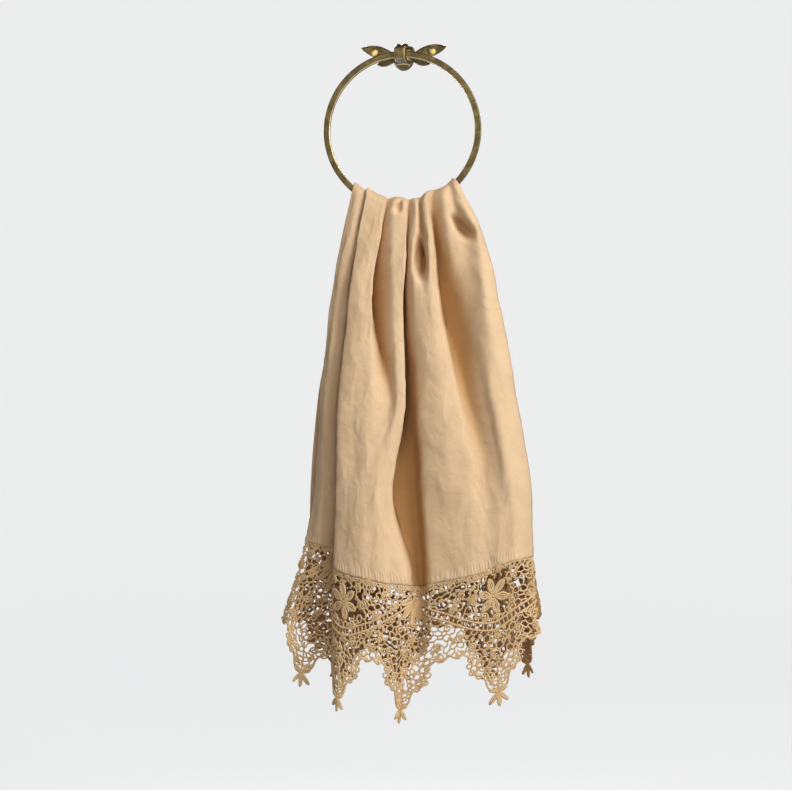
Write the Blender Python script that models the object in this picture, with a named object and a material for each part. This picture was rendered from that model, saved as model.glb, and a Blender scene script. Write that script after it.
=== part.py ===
"""A linen hand towel with lace ends, drawn through a brass towel ring on a winged wall plate.

All sizes below are in millimetres and become metres where a mesh is made. +Z is up, the front
faces -Y, the wall is the plane y = 0 and the origin is the middle of the wall plate's back face.
The cloth's folds are given as they are seen from the front, a little from the right: "across" is
measured to the right of the ring's middle, "below" under it, and "forward" from the ring's plane
towards the viewer.
"""

import math
from collections import namedtuple

import bmesh
import bpy
import numpy as np
from mathutils import Vector
from mathutils.geometry import delaunay_2d_cdt

MM = 0.001

# Ring and its place
RING_OUTER = 79.2
RING_WIDTH = 6.4
RING_DEPTH = 5.0
RING_CHAMFER = 0.8
RING_STEPS = 64
RING_CENTRE = Vector((1.8, -30.0, -78.5))
RING_INNER = RING_OUTER - RING_WIDTH

# Where the folds are seen from
VIEW_TURN = math.radians(6.8)
VIEW_DISTANCE = 1750.0
VIEW_LEFT = 6.2
VIEW_BELOW = 264.5

# Cloth and lace
CLOTH_WIDTH = 360.0
CLOTH_THICK = 1.2
HEM_THICK = 1.8
LACE_THICK = 1.6
SEAM_GAP = 0.3
LACE_DEPTH = 80.0
ARCH_HEIGHT = 9.0
HANG_SLANT = 0.1
WIDE_FOLD = 19.0

# Heights of the named levels under the ring's middle
LEVELS = {"neck": 110.0, "upper": 170.0, "middle": 270.0, "lower": 360.0}

# The front's folds, from its left edge to its right one. "cloth" is the place across the flat
# cloth and "lift" how far the cloth stands above the ring's bar. "crest" is a place across, the
# levels from "shoulder" to "lace" are (across, forward), and "drop" is the hem's height below.
Fold = namedtuple("Fold", "cloth crest lift shoulder neck upper middle lower hem lace drop")
FRONT_FOLDS = {
    "left edge": Fold(
        0, -47, 3, (-50, 7), (-61, 6), (-73, 2), (-82, -2), (-87, -4), (-95, -5), (-121, -2), 411),
    "shaded strip": Fold(
        18, -43, 3, (-45, 9), (-54, 10), (-67, 9), (-75, 7), (-80, 6), (-84, 5), (-114, 7), 414),
    "shaded trough": Fold(
        30, -39, 3, (-40, 7), (-49, 6), (-60, 3), (-69, 1), (-73, 0), (-75, 0), (-108, 4), 416),
    "tucked layer": Fold(
        48, -35, 3.8, (-36, 7), (-42, 5), (-50, -2), (-55, -5), (-56, -7), (-58, -8), (-94, -8), 420),
    "hidden turn": Fold(
        78, -31, 4, (-31, 8), (-34, 8), (-38, 5), (-38, 5), (-37, 5), (-38, 5), (-60, 3), 426),
    "left fold": Fold(
        115, -35, 4, (-36, 11), (-45, 14), (-54, 16), (-63, 18), (-66, 20), (-68, 20), (-70, 16), 436),
    "left face": Fold(
        136, -26, 4, (-26, 12), (-33, 18), (-42, 26), (-50, 32), (-53, 36), (-56, 37), (-61, 34), 444),
    "left side": Fold(
        163, -16, 4, (-15, 12), (-22, 16), (-31, 25), (-32, 36), (-36, 42), (-37, 44), (-42, 38), 449),
    "left valley": Fold(
        178, -12, 3, (-12, 7), (-17, 5), (-24, 6), (-18, 32), (-26, 42), (-24, 44), (-31, 38), 452),
    "middle ridge": Fold(
        194, -4, 6.4, (-3, 14), (-5, 15), (-9, 20), (-7, 36), (-18, 38), (-12, 40), (-21, 36), 454),
    "middle lip": Fold(
        210, 4, 4.4, (4, 11), (3, 14), (-1, 21), (2.5, 30), (-10, 28), (-2, 30), (-10, 33), 455),
    "deep valley": Fold(
        226, 6.5, 3, (6.5, 6.6), (5, 4), (2.5, -4), (7, -4), (4, 0), (10, 12), (3, 28), 456),
    "right lip": Fold(
        240, 9, 3.8, (9, 9), (7.5, 12), (6.5, 14), (11, 8), (19, 4), (24, 12), (17, 27), 456),
    "small ridge": Fold(
        252, 13, 4, (14, 14), (14, 16), (14, 22), (19, 24), (29, 22), (34, 22), (28, 28), 454),
    "teardrop": Fold(
        263, 18, 3, (18, 7), (20.5, 4), (22, 22), (29, 30), (40, 32), (44, 30), (40, 30), 451),
    "narrow ridge": Fold(
        276, 22, 6, (21.5, 13), (28, 18), (29, 26), (40, 33), (53, 37), (56, 36), (53, 32), 448),
    "right ridge": Fold(
        291, 27, 7, (25, 14), (32, 15), (37.5, 22), (56, 32), (68, 38), (70, 38), (69, 32), 445),
    "right valley": Fold(
        316, 33, 5, (31, 7), (39, 4), (42, 4), (76, 20), (90, 32), (88, 36), (95, 30), 438),
    "shoulder ridge": Fold(
        331, 41, 3, (42, 12), (48, 14), (62, 6), (88, 24), (102, 34), (103, 36), (109, 30), 433),
    "pocket": Fold(
        342, 46, 3, (49, 8), (63, 5), (78, 16), (98, 27), (112, 32), (113, 32), (119, 27), 430),
    "right face": Fold(
        351, 48.5, 3.2, (54.5, 11), (76, 13), (90, 24), (107, 24), (121, 26), (123, 26), (129, 22), 428),
    "right edge": Fold(
        360, 50.5, 3.3, (58.5, 8), (83, 8), (97, 12), (115, 10), (128.5, 12), (131, 12), (138, 10), 426),
}

# The back's folds hang from the same crest and fan out to their places at the hem.
BackFold = namedtuple("BackFold", "cloth hem lace drop")
BACK_FOLDS = {
    "left edge": BackFold(0, (-93, -17), (-97, -17), 402),
    "first wave": BackFold(24, (-77, -22), (-79, -22), 404),
    "left point": BackFold(45, (-60, -14), (-60, -14), 405),
    "pleat turn": BackFold(68, (-37, -15), (-37, -15), 406),
    "pleat turned": BackFold(78, (-37, -19.5), (-37, -19.5), 406),
    "pleat return": BackFold(90, (-50, -20), (-50, -20), 406),
    "pleat returned": BackFold(103, (-50, -24.5), (-50, -24.5), 406),
    "under pleat": BackFold(120, (-27, -25), (-27, -25), 407),
    "middle left": BackFold(140, (2, -22), (3, -22), 408),
    "middle wave": BackFold(165, (31, -14), (31, -14), 408),
    "second wave": BackFold(195, (60, -23), (60, -23), 408),
    "middle right": BackFold(225, (84, -14), (86, -14), 407),
    "tuck turn": BackFold(246, (105, -15), (109, -15), 405),
    "tuck turned": BackFold(252, (105, -19.5), (109, -19.5), 405),
    "tuck return": BackFold(270, (88, -20), (92, -20), 405),
    "tuck returned": BackFold(276, (88, -24.5), (92, -24.5), 405),
    "under tuck": BackFold(300, (107, -25), (112, -25), 403),
    "right point": BackFold(316, (115, -22), (122, -22), 402),
    "last wave": BackFold(340, (122, -15), (131, -15), 400),
    "right edge": BackFold(360, (128, -18), (140, -18), 399),
}
BACK_SPREAD = {"neck": 0.22, "upper": 0.48, "middle": 0.72, "lower": 0.93}
BACK_SINK = {"neck": 0.2, "upper": 0.4, "middle": 0.7, "lower": 0.9}
BACK_SHOULDER = -7.5

# Lace pattern, on the flat strip: "flower" points under a flower, "fan" points between swags.
REPEAT = 90.0
FIRST_POINT = 45.0
SCALLOP = 76.0
FLOWER_DOWN = 26.0
FLOWER_GAP_RING = 18.0
SWAG_LOW = 57.0
SWAG_HIGH = 8.0
SWAG_CLEAR = 8.3
GAP_PITCH = 12.6
GAP_ROW = 11.8
GAP_HALF = 4.7
GAP_SPACING = 11.4
GAP_MARGIN = 7.2
GAP_SIDES = 5
# Half of a point's outline, from its tip to the middle of the next scallop: (along, down)
POINT_OUTLINE = (
    (0.0, 139.5), (2.4, 138.0), (2.2, 131.0), (7.0, 135.5), (10.0, 132.0), (4.6, 126.0),
    (4.2, 121.5), (8.6, 119.0), (7.0, 115.0), (10.0, 109.0), (13.5, 103.0), (20.0, 101.5),
    (24.5, 96.0), (23.0, 88.0), (26.5, 81.0), (32.0, 77.0), (36.0, 80.5), (41.0, 80.0),
)
# Gaps inside a point: (along, down, half size)
POINT_GAPS = ((0.0, 86.0, 4.0), (11.5, 91.5, 3.8), (0.0, 98.5, 3.6), (0.0, 109.5, 2.6))
END_TAB = ((2.5, 80.0), (6.0, 88.0), (5.0, 93.0), (0.8, 94.0))

# Wall plate, its ribbed body, clamp block and screws
PLATE_THICK = 3.0
PLATE_OVAL = (11.0, 13.5)
LEAF_STEPS = 20
Leaf = namedtuple("Leaf", "root tip half_width fullest")
WINGS = {
    "upper": Leaf((6.0, 1.5), (43.4, 10.2), 5.9, 0.56),
    "lower": Leaf((5.0, -1.5), (27.0, -7.0), 3.8, 0.6),
}
BODY_FRONT = -15.9
BODY_BOSS = 0.48
BODY_RIB = 1.0
BODY_RIB_PITCH = 4.6
BODY_SCALLOPS = 14
BODY_SCALLOP_DEPTH = 0.055
BODY_BROW = 0.86
BODY_STEPS = 54
BODY_RINGS = 8
# Round lobes of the head: (across, up, radius)
HEAD_LOBES = ((-4.6, 9.0, 4.1), (2.3, 9.2, 4.1), (7.8, 6.2, 3.9))
BLOCK_WIDTH = 10.6
BLOCK_FRONT = -40.0
BLOCK_BACK = -16.2
BLOCK_TOP = 2.9
BLOCK_BOTTOM = -8.7
BLOCK_BEVEL = 0.8
RING_CLEAR = 0.4
SCREW_PLACE = (29.6, 5.2)
SCREW_RADIUS = 3.5
SCREW_HEIGHT = 1.7
SCREW_SLOT = (0.9, 0.8)
SCREW_TURNS = {"left": math.radians(62), "right": math.radians(-38)}

Finish = namedtuple("Finish", "color roughness metallic")
FINISHES = {
    "linen": Finish((0.72, 0.52, 0.32), 0.9, 0.0),
    "lace": Finish((0.66, 0.45, 0.22), 0.85, 0.0),
    "aged_brass": Finish((0.22, 0.16, 0.06), 0.42, 1.0),
    "screw_brass": Finish((0.62, 0.42, 0.14), 0.3, 1.0),
}


def clear_scene():
    """Remove the objects that a new file holds."""
    for old in list(bpy.data.objects):
        bpy.data.objects.remove(old, do_unlink=True)


def material(name):
    """The named finish as a Principled BSDF material, made once."""
    made = bpy.data.materials.get(name)
    if made:
        return made
    finish = FINISHES[name]
    made = bpy.data.materials.new(name)
    made.use_nodes = True
    shader = made.node_tree.nodes["Principled BSDF"]
    shader.inputs["Base Color"].default_value = (*finish.color, 1.0)
    shader.inputs["Roughness"].default_value = finish.roughness
    shader.inputs["Metallic"].default_value = finish.metallic
    return made


def add_object(name, shape, finish, smooth=False):
    """Link a bmesh, in millimetres, as an object in metres with the named finish."""
    mesh = bpy.data.meshes.new(name)
    bmesh.ops.scale(shape, vec=(MM, MM, MM), verts=shape.verts)
    bmesh.ops.recalc_face_normals(shape, faces=shape.faces)
    shape.to_mesh(mesh)
    shape.free()
    if smooth:
        mesh.shade_smooth()
        mesh.set_sharp_from_angle(angle=math.radians(40))
    made = bpy.data.objects.new(name, mesh)
    made.data.materials.append(material(finish))
    bpy.context.scene.collection.objects.link(made)
    return made


def smooth_through(knots, values, wanted):
    """Values at the wanted places on a curve through the knots that never overshoots them."""
    knots = np.asarray(knots, float)
    values = np.asarray(values, float)
    widths = np.diff(knots)
    slopes = np.diff(values) / widths
    tangents = np.empty_like(values)
    tangents[0] = slopes[0]
    tangents[-1] = slopes[-1]
    for i in range(1, len(knots) - 1):
        if slopes[i - 1] * slopes[i] <= 0:
            tangents[i] = 0.0
        else:
            near = 2 * widths[i] + widths[i - 1]
            far = widths[i] + 2 * widths[i - 1]
            tangents[i] = (near + far) / (near / slopes[i - 1] + far / slopes[i])
    wanted = np.asarray(wanted, float)
    i = np.clip(np.searchsorted(knots, wanted) - 1, 0, len(widths) - 1)
    u = (wanted - knots[i]) / widths[i]
    return (
        values[i] * (1 + 2 * u) * (1 - u) ** 2
        + tangents[i] * widths[i] * u * (1 - u) ** 2
        + values[i + 1] * u * u * (3 - 2 * u)
        - tangents[i + 1] * widths[i] * u * u * (1 - u)
    )


def place_seen(across, below, forward):
    """The point that is seen at (across, below) and lies this far forward of the ring's plane."""
    right = Vector((math.cos(VIEW_TURN), math.sin(VIEW_TURN), 0.0))
    ahead = Vector((-math.sin(VIEW_TURN), math.cos(VIEW_TURN), 0.0))
    eye = RING_CENTRE - VIEW_DISTANCE * ahead - VIEW_LEFT * right - Vector((0, 0, VIEW_BELOW))
    seen = RING_CENTRE + float(across) * right - Vector((0, 0, float(below)))
    share = (RING_CENTRE.y - float(forward) - eye.y) / (seen.y - eye.y)
    return eye + (seen - eye) * share


def level_normal(along):
    """The unit normal, in the level plane, of cloth that runs along this direction."""
    return Vector((along.y, -along.x, 0.0)).normalized()


class Panel:
    """One side of the hanging cloth: its fold lines at each level, and the surface through them."""

    def __init__(self, levels):
        """levels is a list of (across, below, forward) functions of the place across the cloth."""
        self.levels = levels

    def column(self, cloth):
        """The fold line's points at every level, for one place across the cloth."""
        return np.array([[float(value(cloth)) for value in level] for level in self.levels])

    def point(self, cloth, row):
        """The surface at a row: 0 is the crest, 1 the shoulder, 6 the hem, 7 the scallops."""
        column = self.column(cloth)
        if row < 1:
            turn = row * math.pi / 2
            across = column[0][0] + (column[1][0] - column[0][0]) * row
            below = column[0][1] + (column[1][1] - column[0][1]) * (1 - math.cos(turn))
            return place_seen(across, below, column[1][2] * math.sin(turn))
        last = len(column) - 1
        if row > last:
            spare = (row - last) * LACE_DEPTH
            slant = (column[last] - column[last - 1]) / LACE_DEPTH
            slant = np.clip(slant, -HANG_SLANT, HANG_SLANT)
            across, _, forward = column[last] + slant * spare
            return place_seen(across, column[last][1] + spare, forward)
        knot = min(int(row), last - 1)
        below = column[knot][1] + (column[knot + 1][1] - column[knot][1]) * (row - knot)
        heights = column[1:, 1]
        across = smooth_through(heights, column[1:, 0], below)
        forward = smooth_through(heights, column[1:, 2], below)
        return place_seen(float(across), below, float(forward))

    def normal(self, cloth, row):
        """The level unit normal of the hanging surface, found from its neighbouring points."""
        step = 0.5
        low = max(cloth - step, 0.0)
        high = min(cloth + step, CLOTH_WIDTH)
        along = self.point(high, row) - self.point(low, row)
        return level_normal(along)


def through(folds, pick):
    """A function of the place across the cloth that passes through one value of every fold."""
    knots = [fold.cloth for fold in folds]
    values = [pick(fold) for fold in folds]
    return lambda cloth: smooth_through(knots, values, cloth)


def crest_below(fold):
    """How far the cloth's crest lies under the ring's middle, a lift above the bar."""
    return math.sqrt((RING_INNER - fold.lift) ** 2 - fold.crest**2)


def always(value):
    """A function that gives the same value across the cloth."""
    return lambda cloth: value


def front_panel():
    """The front of the cloth."""
    folds = list(FRONT_FOLDS.values())
    crest = (through(folds, lambda f: f.crest), through(folds, crest_below), always(0.0))
    levels = [crest]
    for name in ("shoulder", "neck", "upper", "middle", "lower", "hem", "lace"):
        below = {
            "shoulder": through(folds, lambda f: crest_below(f) + ARCH_HEIGHT),
            "hem": through(folds, lambda f: f.drop),
            "lace": through(folds, lambda f: f.drop + LACE_DEPTH),
        }.get(name) or always(LEVELS[name])
        levels.append((
            through(folds, lambda f, name=name: getattr(f, name)[0]),
            below,
            through(folds, lambda f, name=name: getattr(f, name)[1]),
        ))
    return Panel(levels)


def back_panel(front):
    """The back of the cloth, which starts at the front's crest."""
    folds = list(BACK_FOLDS.values())
    crest, shoulder = front.levels[:2]
    hem = (
        through(folds, lambda f: f.hem[0]),
        through(folds, lambda f: f.drop),
        through(folds, lambda f: f.hem[1]),
    )
    lace = (
        through(folds, lambda f: f.lace[0]),
        through(folds, lambda f: f.drop + LACE_DEPTH),
        through(folds, lambda f: f.lace[1]),
    )
    levels = [crest, (shoulder[0], shoulder[1], always(BACK_SHOULDER))]
    for name, below in LEVELS.items():
        spread = BACK_SPREAD[name]
        sink = BACK_SINK[name]
        levels.append((
            lambda c, k=spread: shoulder[0](c) * (1 - k) + hem[0](c) * k,
            always(below),
            lambda c, k=sink: BACK_SHOULDER * (1 - k) + hem[2](c) * k,
        ))
    return Panel(levels + [hem, lace])


def cloth_columns():
    """Places across the cloth where its mesh has a column: each fold and evenly between."""
    folds = [fold.cloth for fold in FRONT_FOLDS.values()]
    columns = []
    for near, far in zip(folds, folds[1:]):
        parts = 3 if far - near > WIDE_FOLD else 2
        columns += [near + (far - near) * i / parts for i in range(parts)]
    return columns + [folds[-1]]


def cloth_rows():
    """(panel side, row, thickness) from the front hem over the crest to the back hem."""
    hem_start = 5.9
    front = [6, hem_start, 5.5, 5, 4.6, 4.3, 4, 3.65, 3.3, 3, 2.65, 2.3, 2, 1.65, 1.3, 1, 0.66, 0.33, 0]
    back = [0.33, 0.66, 1, 1.5, 2, 2.5, 3, 3.5, 4, 5, hem_start, 6]
    thick = {6: HEM_THICK, hem_start: HEM_THICK}
    rows = [("front", row, thick.get(row, CLOTH_THICK)) for row in front]
    return rows + [("back", row, thick.get(row, CLOTH_THICK)) for row in back]


def linen_panel(front, back):
    """The linen: one closed sheet from the front hem over the ring to the back hem."""
    columns = cloth_columns()
    rows = cloth_rows()
    middle = [
        [(front if side == "front" else back).point(c, row) for c in columns]
        for side, row, _ in rows
    ]
    shape = bmesh.new()
    skins = ([], [])
    for r, (side, row, thick) in enumerate(rows):
        for skin in skins:
            skin.append([])
        for c in range(len(columns)):
            along = middle[r][min(c + 1, len(columns) - 1)] - middle[r][max(c - 1, 0)]
            up = middle[min(r + 1, len(rows) - 1)][c] - middle[max(r - 1, 0)][c]
            normal = along.cross(up).normalized()
            if thick == HEM_THICK:
                facing = {"front": front, "back": back}[side].normal(columns[c], row)
                normal = facing if side == "front" else -facing
            for skin, half in zip(skins, (0.5, -0.5)):
                skin[r].append(shape.verts.new(middle[r][c] + normal * thick * half))
    last_row = len(rows) - 1
    last_column = len(columns) - 1
    for r in range(last_row):
        for c in range(last_column):
            for skin in skins:
                shape.faces.new((skin[r][c], skin[r][c + 1], skin[r + 1][c + 1], skin[r + 1][c]))
    outer, inner = skins
    for c in range(last_column):
        for r in (0, last_row):
            shape.faces.new((outer[r][c], outer[r][c + 1], inner[r][c + 1], inner[r][c]))
    for r in range(last_row):
        for c in (0, last_column):
            shape.faces.new((outer[r][c], outer[r + 1][c], inner[r + 1][c], inner[r][c]))
    bmesh.ops.triangulate(shape, faces=shape.faces)
    return add_object("linen_panel", shape, "linen", smooth=True)


def point_places():
    """Middles of the lace's points along the strip."""
    return [FIRST_POINT + REPEAT * i for i in range(int(CLOTH_WIDTH / REPEAT))]


def has_flower(index):
    """Every second point hangs under a flower, the others under the crossing of two swags."""
    return index % 2 == 1


def lace_outline():
    """The lace strip's outline on the flat, as (along, down) points in one turn."""
    outline = [(c, SEAM_GAP) for c in cloth_columns()]
    outline += [(CLOTH_WIDTH, d) for d in (20.0, 40.0, 60.0)]
    outline += [(CLOTH_WIDTH - x, d) for x, d in reversed(END_TAB)]
    for middle in reversed(point_places()):
        outline += [(middle + x, d) for x, d in reversed(POINT_OUTLINE[1:])]
        outline += [(middle - x, d) for x, d in POINT_OUTLINE]
        if middle > FIRST_POINT:
            outline.append((middle - REPEAT / 2, SCALLOP))
    outline += END_TAB
    outline += [(0.0, d) for d in (60.0, 40.0, 20.0)]
    return outline


def swag_down(along):
    """How far down the swag's middle line runs at a place along the strip."""
    flowers = [place for i, place in enumerate(point_places()) if has_flower(i)]
    flowers += [flowers[0] - 2 * REPEAT, flowers[-1] + 2 * REPEAT]
    share = min(abs(along - place) for place in flowers) / REPEAT
    return SWAG_LOW - (SWAG_LOW - SWAG_HIGH) * share**1.5


def inside(point, outline):
    """Whether a flat point is within the outline."""
    x, y = point
    found = False
    for (x0, y0), (x1, y1) in zip(outline, outline[1:] + outline[:1]):
        if (y0 > y) != (y1 > y) and x < (x1 - x0) * (y - y0) / (y1 - y0) + x0:
            found = not found
    return found


def edge_distance(point, outline):
    """How far a flat point lies from the outline."""
    best = math.inf
    for start, end in zip(outline, outline[1:] + outline[:1]):
        side = (end[0] - start[0], end[1] - start[1])
        reach = (point[0] - start[0], point[1] - start[1])
        share = (reach[0] * side[0] + reach[1] * side[1]) / (side[0] ** 2 + side[1] ** 2)
        share = min(max(share, 0.0), 1.0)
        best = min(best, math.dist(reach, (side[0] * share, side[1] * share)))
    return best


def lace_gaps(outline):
    """The gaps cut through the lace, as (along, down, half size): motifs first, then the ground."""
    gaps = []
    for i, middle in enumerate(point_places()):
        for x, down, half in POINT_GAPS:
            for side in (1, -1) if x else (1,):
                gaps.append((middle + side * x, down, half))
        if has_flower(i):
            for petal in range(8):
                turn = math.tau * (petal + 0.5) / 8
                gaps.append((
                    middle + FLOWER_GAP_RING * math.cos(turn),
                    FLOWER_DOWN + FLOWER_GAP_RING * math.sin(turn),
                    GAP_HALF,
                ))
    row = 0
    down = GAP_MARGIN + 0.6
    while down < SCALLOP:
        along = GAP_MARGIN + (GAP_PITCH / 2 if row % 2 else 0.0)
        while along < CLOTH_WIDTH:
            here = (along, down)
            clear = all(math.dist(here, gap[:2]) > GAP_SPACING for gap in gaps)
            flowers = [p for i, p in enumerate(point_places()) if has_flower(i)]
            off_flower = all(math.dist(here, (p, FLOWER_DOWN)) > FLOWER_GAP_RING for p in flowers)
            off_swag = abs(down - swag_down(along)) > SWAG_CLEAR
            if clear and off_flower and off_swag and inside(here, outline):
                if edge_distance(here, outline) > GAP_MARGIN:
                    gaps.append((along, down, GAP_HALF))
            along += GAP_PITCH
        down += GAP_ROW
        row += 1
    return gaps


def gap_outline(along, down, half, index):
    """A gap as an uneven polygon, a little wider or taller by turns."""
    stretch = 1.0 + 0.14 * math.sin(2.3 * index)
    points = []
    for i in range(GAP_SIDES):
        turn = math.tau * i / GAP_SIDES + 0.7 * index
        points.append((
            along + half * stretch * math.cos(turn),
            down + half / stretch * math.sin(turn),
        ))
    return points


def lace_strip(name, panel):
    """A strip of lace that hangs from a hem: flat sheet with its gaps, bent onto the panel."""
    outline = lace_outline()
    gaps = [gap_outline(*gap, i) for i, gap in enumerate(lace_gaps(outline))]
    flat = []
    edges = []
    for loop in [outline] + gaps:
        start = len(flat)
        flat += loop
        edges += [(start + i, start + (i + 1) % len(loop)) for i in range(len(loop))]
    points, _, faces, _, _, _ = delaunay_2d_cdt([Vector(p) for p in flat], edges, [], 0, 1e-5)
    kept = []
    for face in faces:
        middle = sum((points[i] for i in face), Vector((0, 0))) / len(face)
        if inside(middle, outline) and not any(inside(middle, gap) for gap in gaps):
            kept.append(face)
    shape = bmesh.new()
    skins = ([], [])
    for along, down in points:
        row = 6 + down / LACE_DEPTH
        middle = panel.point(along, row)
        normal = panel.normal(along, row)
        for skin, side in zip(skins, (0.5, -0.5)):
            skin.append(shape.verts.new(middle + normal * LACE_THICK * side))
    outer, inner = skins
    used = {}
    for face in kept:
        shape.faces.new([outer[i] for i in face])
        shape.faces.new([inner[i] for i in reversed(face)])
        for i in range(len(face)):
            edge = (face[i], face[(i + 1) % len(face)])
            used[tuple(sorted(edge))] = None if tuple(sorted(edge)) in used else edge
    for edge in used.values():
        if edge:
            a, b = edge
            shape.faces.new((outer[b], outer[a], inner[a], inner[b]))
    loose = [v for v in shape.verts if not v.link_faces]
    bmesh.ops.delete(shape, geom=loose, context="VERTS")
    bmesh.ops.triangulate(shape, faces=shape.faces)
    return add_object(name, shape, "lace")


def towel_ring():
    """The ring: a chamfered flat bar bent to a circle, standing in the plane of the wall."""
    half = RING_DEPTH / 2
    cut = RING_CHAMFER
    section = (
        (RING_INNER + cut, -half), (RING_OUTER - cut, -half), (RING_OUTER, -half + cut),
        (RING_OUTER, half - cut), (RING_OUTER - cut, half), (RING_INNER + cut, half),
        (RING_INNER, half - cut), (RING_INNER, -half + cut),
    )
    shape = bmesh.new()
    loops = []
    for i in range(RING_STEPS):
        turn = math.tau * i / RING_STEPS
        loops.append([
            shape.verts.new(RING_CENTRE + Vector((r * math.cos(turn), y, r * math.sin(turn))))
            for r, y in section
        ])
    for near, far in zip(loops, loops[1:] + loops[:1]):
        for i in range(len(section)):
            j = (i + 1) % len(section)
            shape.faces.new((near[i], near[j], far[j], far[i]))
    return add_object("towel_ring", shape, "aged_brass", smooth=True)


def leaf_outline(leaf, side):
    """A wing seen from the front: a leaf from its root to its tip, on the given side."""
    root = Vector(leaf.root)
    tip = Vector(leaf.tip)
    along = tip - root
    up = Vector((-along.y, along.x)).normalized()
    points = []
    for i in range(LEAF_STEPS):
        turn = math.tau * i / LEAF_STEPS
        share = 0.5 - 0.5 * math.cos(turn)
        bulge = share ** (math.log(0.5) / math.log(leaf.fullest))
        width = leaf.half_width * math.sin(math.pi * bulge) ** 0.8 if 0 < share < 1 else 0.0
        points.append(root + along * share + up * width * (1 if math.sin(turn) > 0 else -1))
    return [(side * p.x, p.y) for p in points]


def oval_outline(half_width, half_height, steps):
    """An oval seen from the front."""
    turns = [math.tau * i / steps for i in range(steps)]
    return [(half_width * math.cos(t), half_height * math.sin(t)) for t in turns]


def slab(name, outline, back, front, finish):
    """A flat piece with this outline in X and Z, between two planes of Y."""
    shape = bmesh.new()
    base = shape.faces.new([shape.verts.new((x, back, z)) for x, z in outline])
    grown = bmesh.ops.extrude_face_region(shape, geom=[base])
    moved = [v for v in grown["geom"] if isinstance(v, bmesh.types.BMVert)]
    bmesh.ops.translate(shape, verts=moved, vec=(0, front - back, 0))
    return add_object(name, shape, finish)


def hide_helper(helper):
    """Keep a helper shape out of the model."""
    helper.hide_render = True
    helper.display_type = "WIRE"


def wall_plate():
    """The plate on the wall: an oval with two pairs of wings, one casting."""
    plate = slab("wall_plate", oval_outline(*PLATE_OVAL, 40), 0.0, -PLATE_THICK, "aged_brass")
    for name, leaf in WINGS.items():
        for side in (1, -1):
            outline = leaf_outline(leaf, side)
            wing = slab(f"guide_{name}_{side + 1}", outline, 0.0, -PLATE_THICK, "aged_brass")
            hide_helper(wing)
            union = plate.modifiers.new(f"{name} wing {side}", "BOOLEAN")
            union.operation = "UNION"
            union.object = wing
    return plate


def body_reach(turn):
    """How far the body reaches from its middle: a scalloped rim below, round lobes above."""
    half_width, half_height = PLATE_OVAL
    oval = 1 / math.hypot(math.cos(turn) / half_width, math.sin(turn) / half_height)
    if turn > math.pi:
        wave = abs(math.sin(turn * BODY_SCALLOPS / 2))
        return (oval - 0.4) * (1 - BODY_SCALLOP_DEPTH * (1 - wave))
    reach = BODY_BROW * oval
    for x, z, radius in HEAD_LOBES:
        nearest = x * math.cos(turn) + z * math.sin(turn)
        spare = radius**2 - x**2 - z**2 + nearest**2
        if spare > 0:
            reach = max(reach, nearest + math.sqrt(spare))
    return reach


def ribbed_body():
    """The oval body in front of the plate, ribbed across, with a flat boss for the block."""
    back = -PLATE_THICK - SEAM_GAP
    shape = bmesh.new()
    rings = []
    for i in range(1, BODY_RINGS + 1):
        share = i / BODY_RINGS
        ring = []
        for j in range(BODY_STEPS):
            turn = math.tau * j / BODY_STEPS
            x = body_reach(turn) * share * math.cos(turn)
            z = body_reach(turn) * share * math.sin(turn)
            swell = max(share - BODY_BOSS, 0.0) / (1 - BODY_BOSS)
            y = BODY_FRONT + (back - 2.2 - BODY_FRONT) * (1 - math.sqrt(1 - swell**2))
            y += BODY_RIB * (0.5 - 0.5 * math.cos(math.tau * z / BODY_RIB_PITCH)) * min(2 * swell, 1.0)
            ring.append(shape.verts.new((x, min(y, back - 0.8), z)))
        rings.append(ring)
    rings.append([shape.verts.new((v.co.x, back, v.co.z)) for v in rings[-1]])
    for near, far in zip(rings, rings[1:]):
        for j in range(BODY_STEPS):
            k = (j + 1) % BODY_STEPS
            shape.faces.new((near[j], near[k], far[k], far[j]))
    middle = shape.verts.new((0, BODY_FRONT, 0))
    for j in range(BODY_STEPS):
        shape.faces.new((middle, rings[0][j], rings[0][(j + 1) % BODY_STEPS]))
    shape.faces.new(rings[-1])
    return add_object("ribbed_body", shape, "aged_brass", smooth=True)


def box_shape(low, high):
    """A box between two corners."""
    shape = bmesh.new()
    bmesh.ops.create_cube(shape, size=1.0)
    low = Vector(low)
    high = Vector(high)
    for vert in shape.verts:
        vert.co = Vector((low[i] + (high[i] - low[i]) * (vert.co[i] + 0.5) for i in range(3)))
    return shape


def clamp_block():
    """The square block on the body, with the slot that the ring's bar runs through."""
    half = BLOCK_WIDTH / 2
    shape = box_shape((-half, BLOCK_FRONT, BLOCK_BOTTOM), (half, BLOCK_BACK, BLOCK_TOP))
    bmesh.ops.bevel(
        shape, geom=shape.edges[:], offset=BLOCK_BEVEL, segments=2, affect="EDGES", profile=0.5
    )
    block = add_object("clamp_block", shape, "aged_brass", smooth=True)
    top = RING_CENTRE.z + RING_OUTER + RING_CLEAR
    low = RING_CENTRE.z + RING_INNER - RING_CLEAR - half**2 / RING_OUTER / 2
    reach = RING_DEPTH / 2 + RING_CLEAR
    slot = add_object(
        "guide_slot",
        box_shape((-2 * half, RING_CENTRE.y - reach, low), (2 * half, RING_CENTRE.y + reach, top)),
        "aged_brass",
    )
    hide_helper(slot)
    cut = block.modifiers.new("slot for the ring", "BOOLEAN")
    cut.operation = "DIFFERENCE"
    cut.object = slot
    return block


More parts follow.
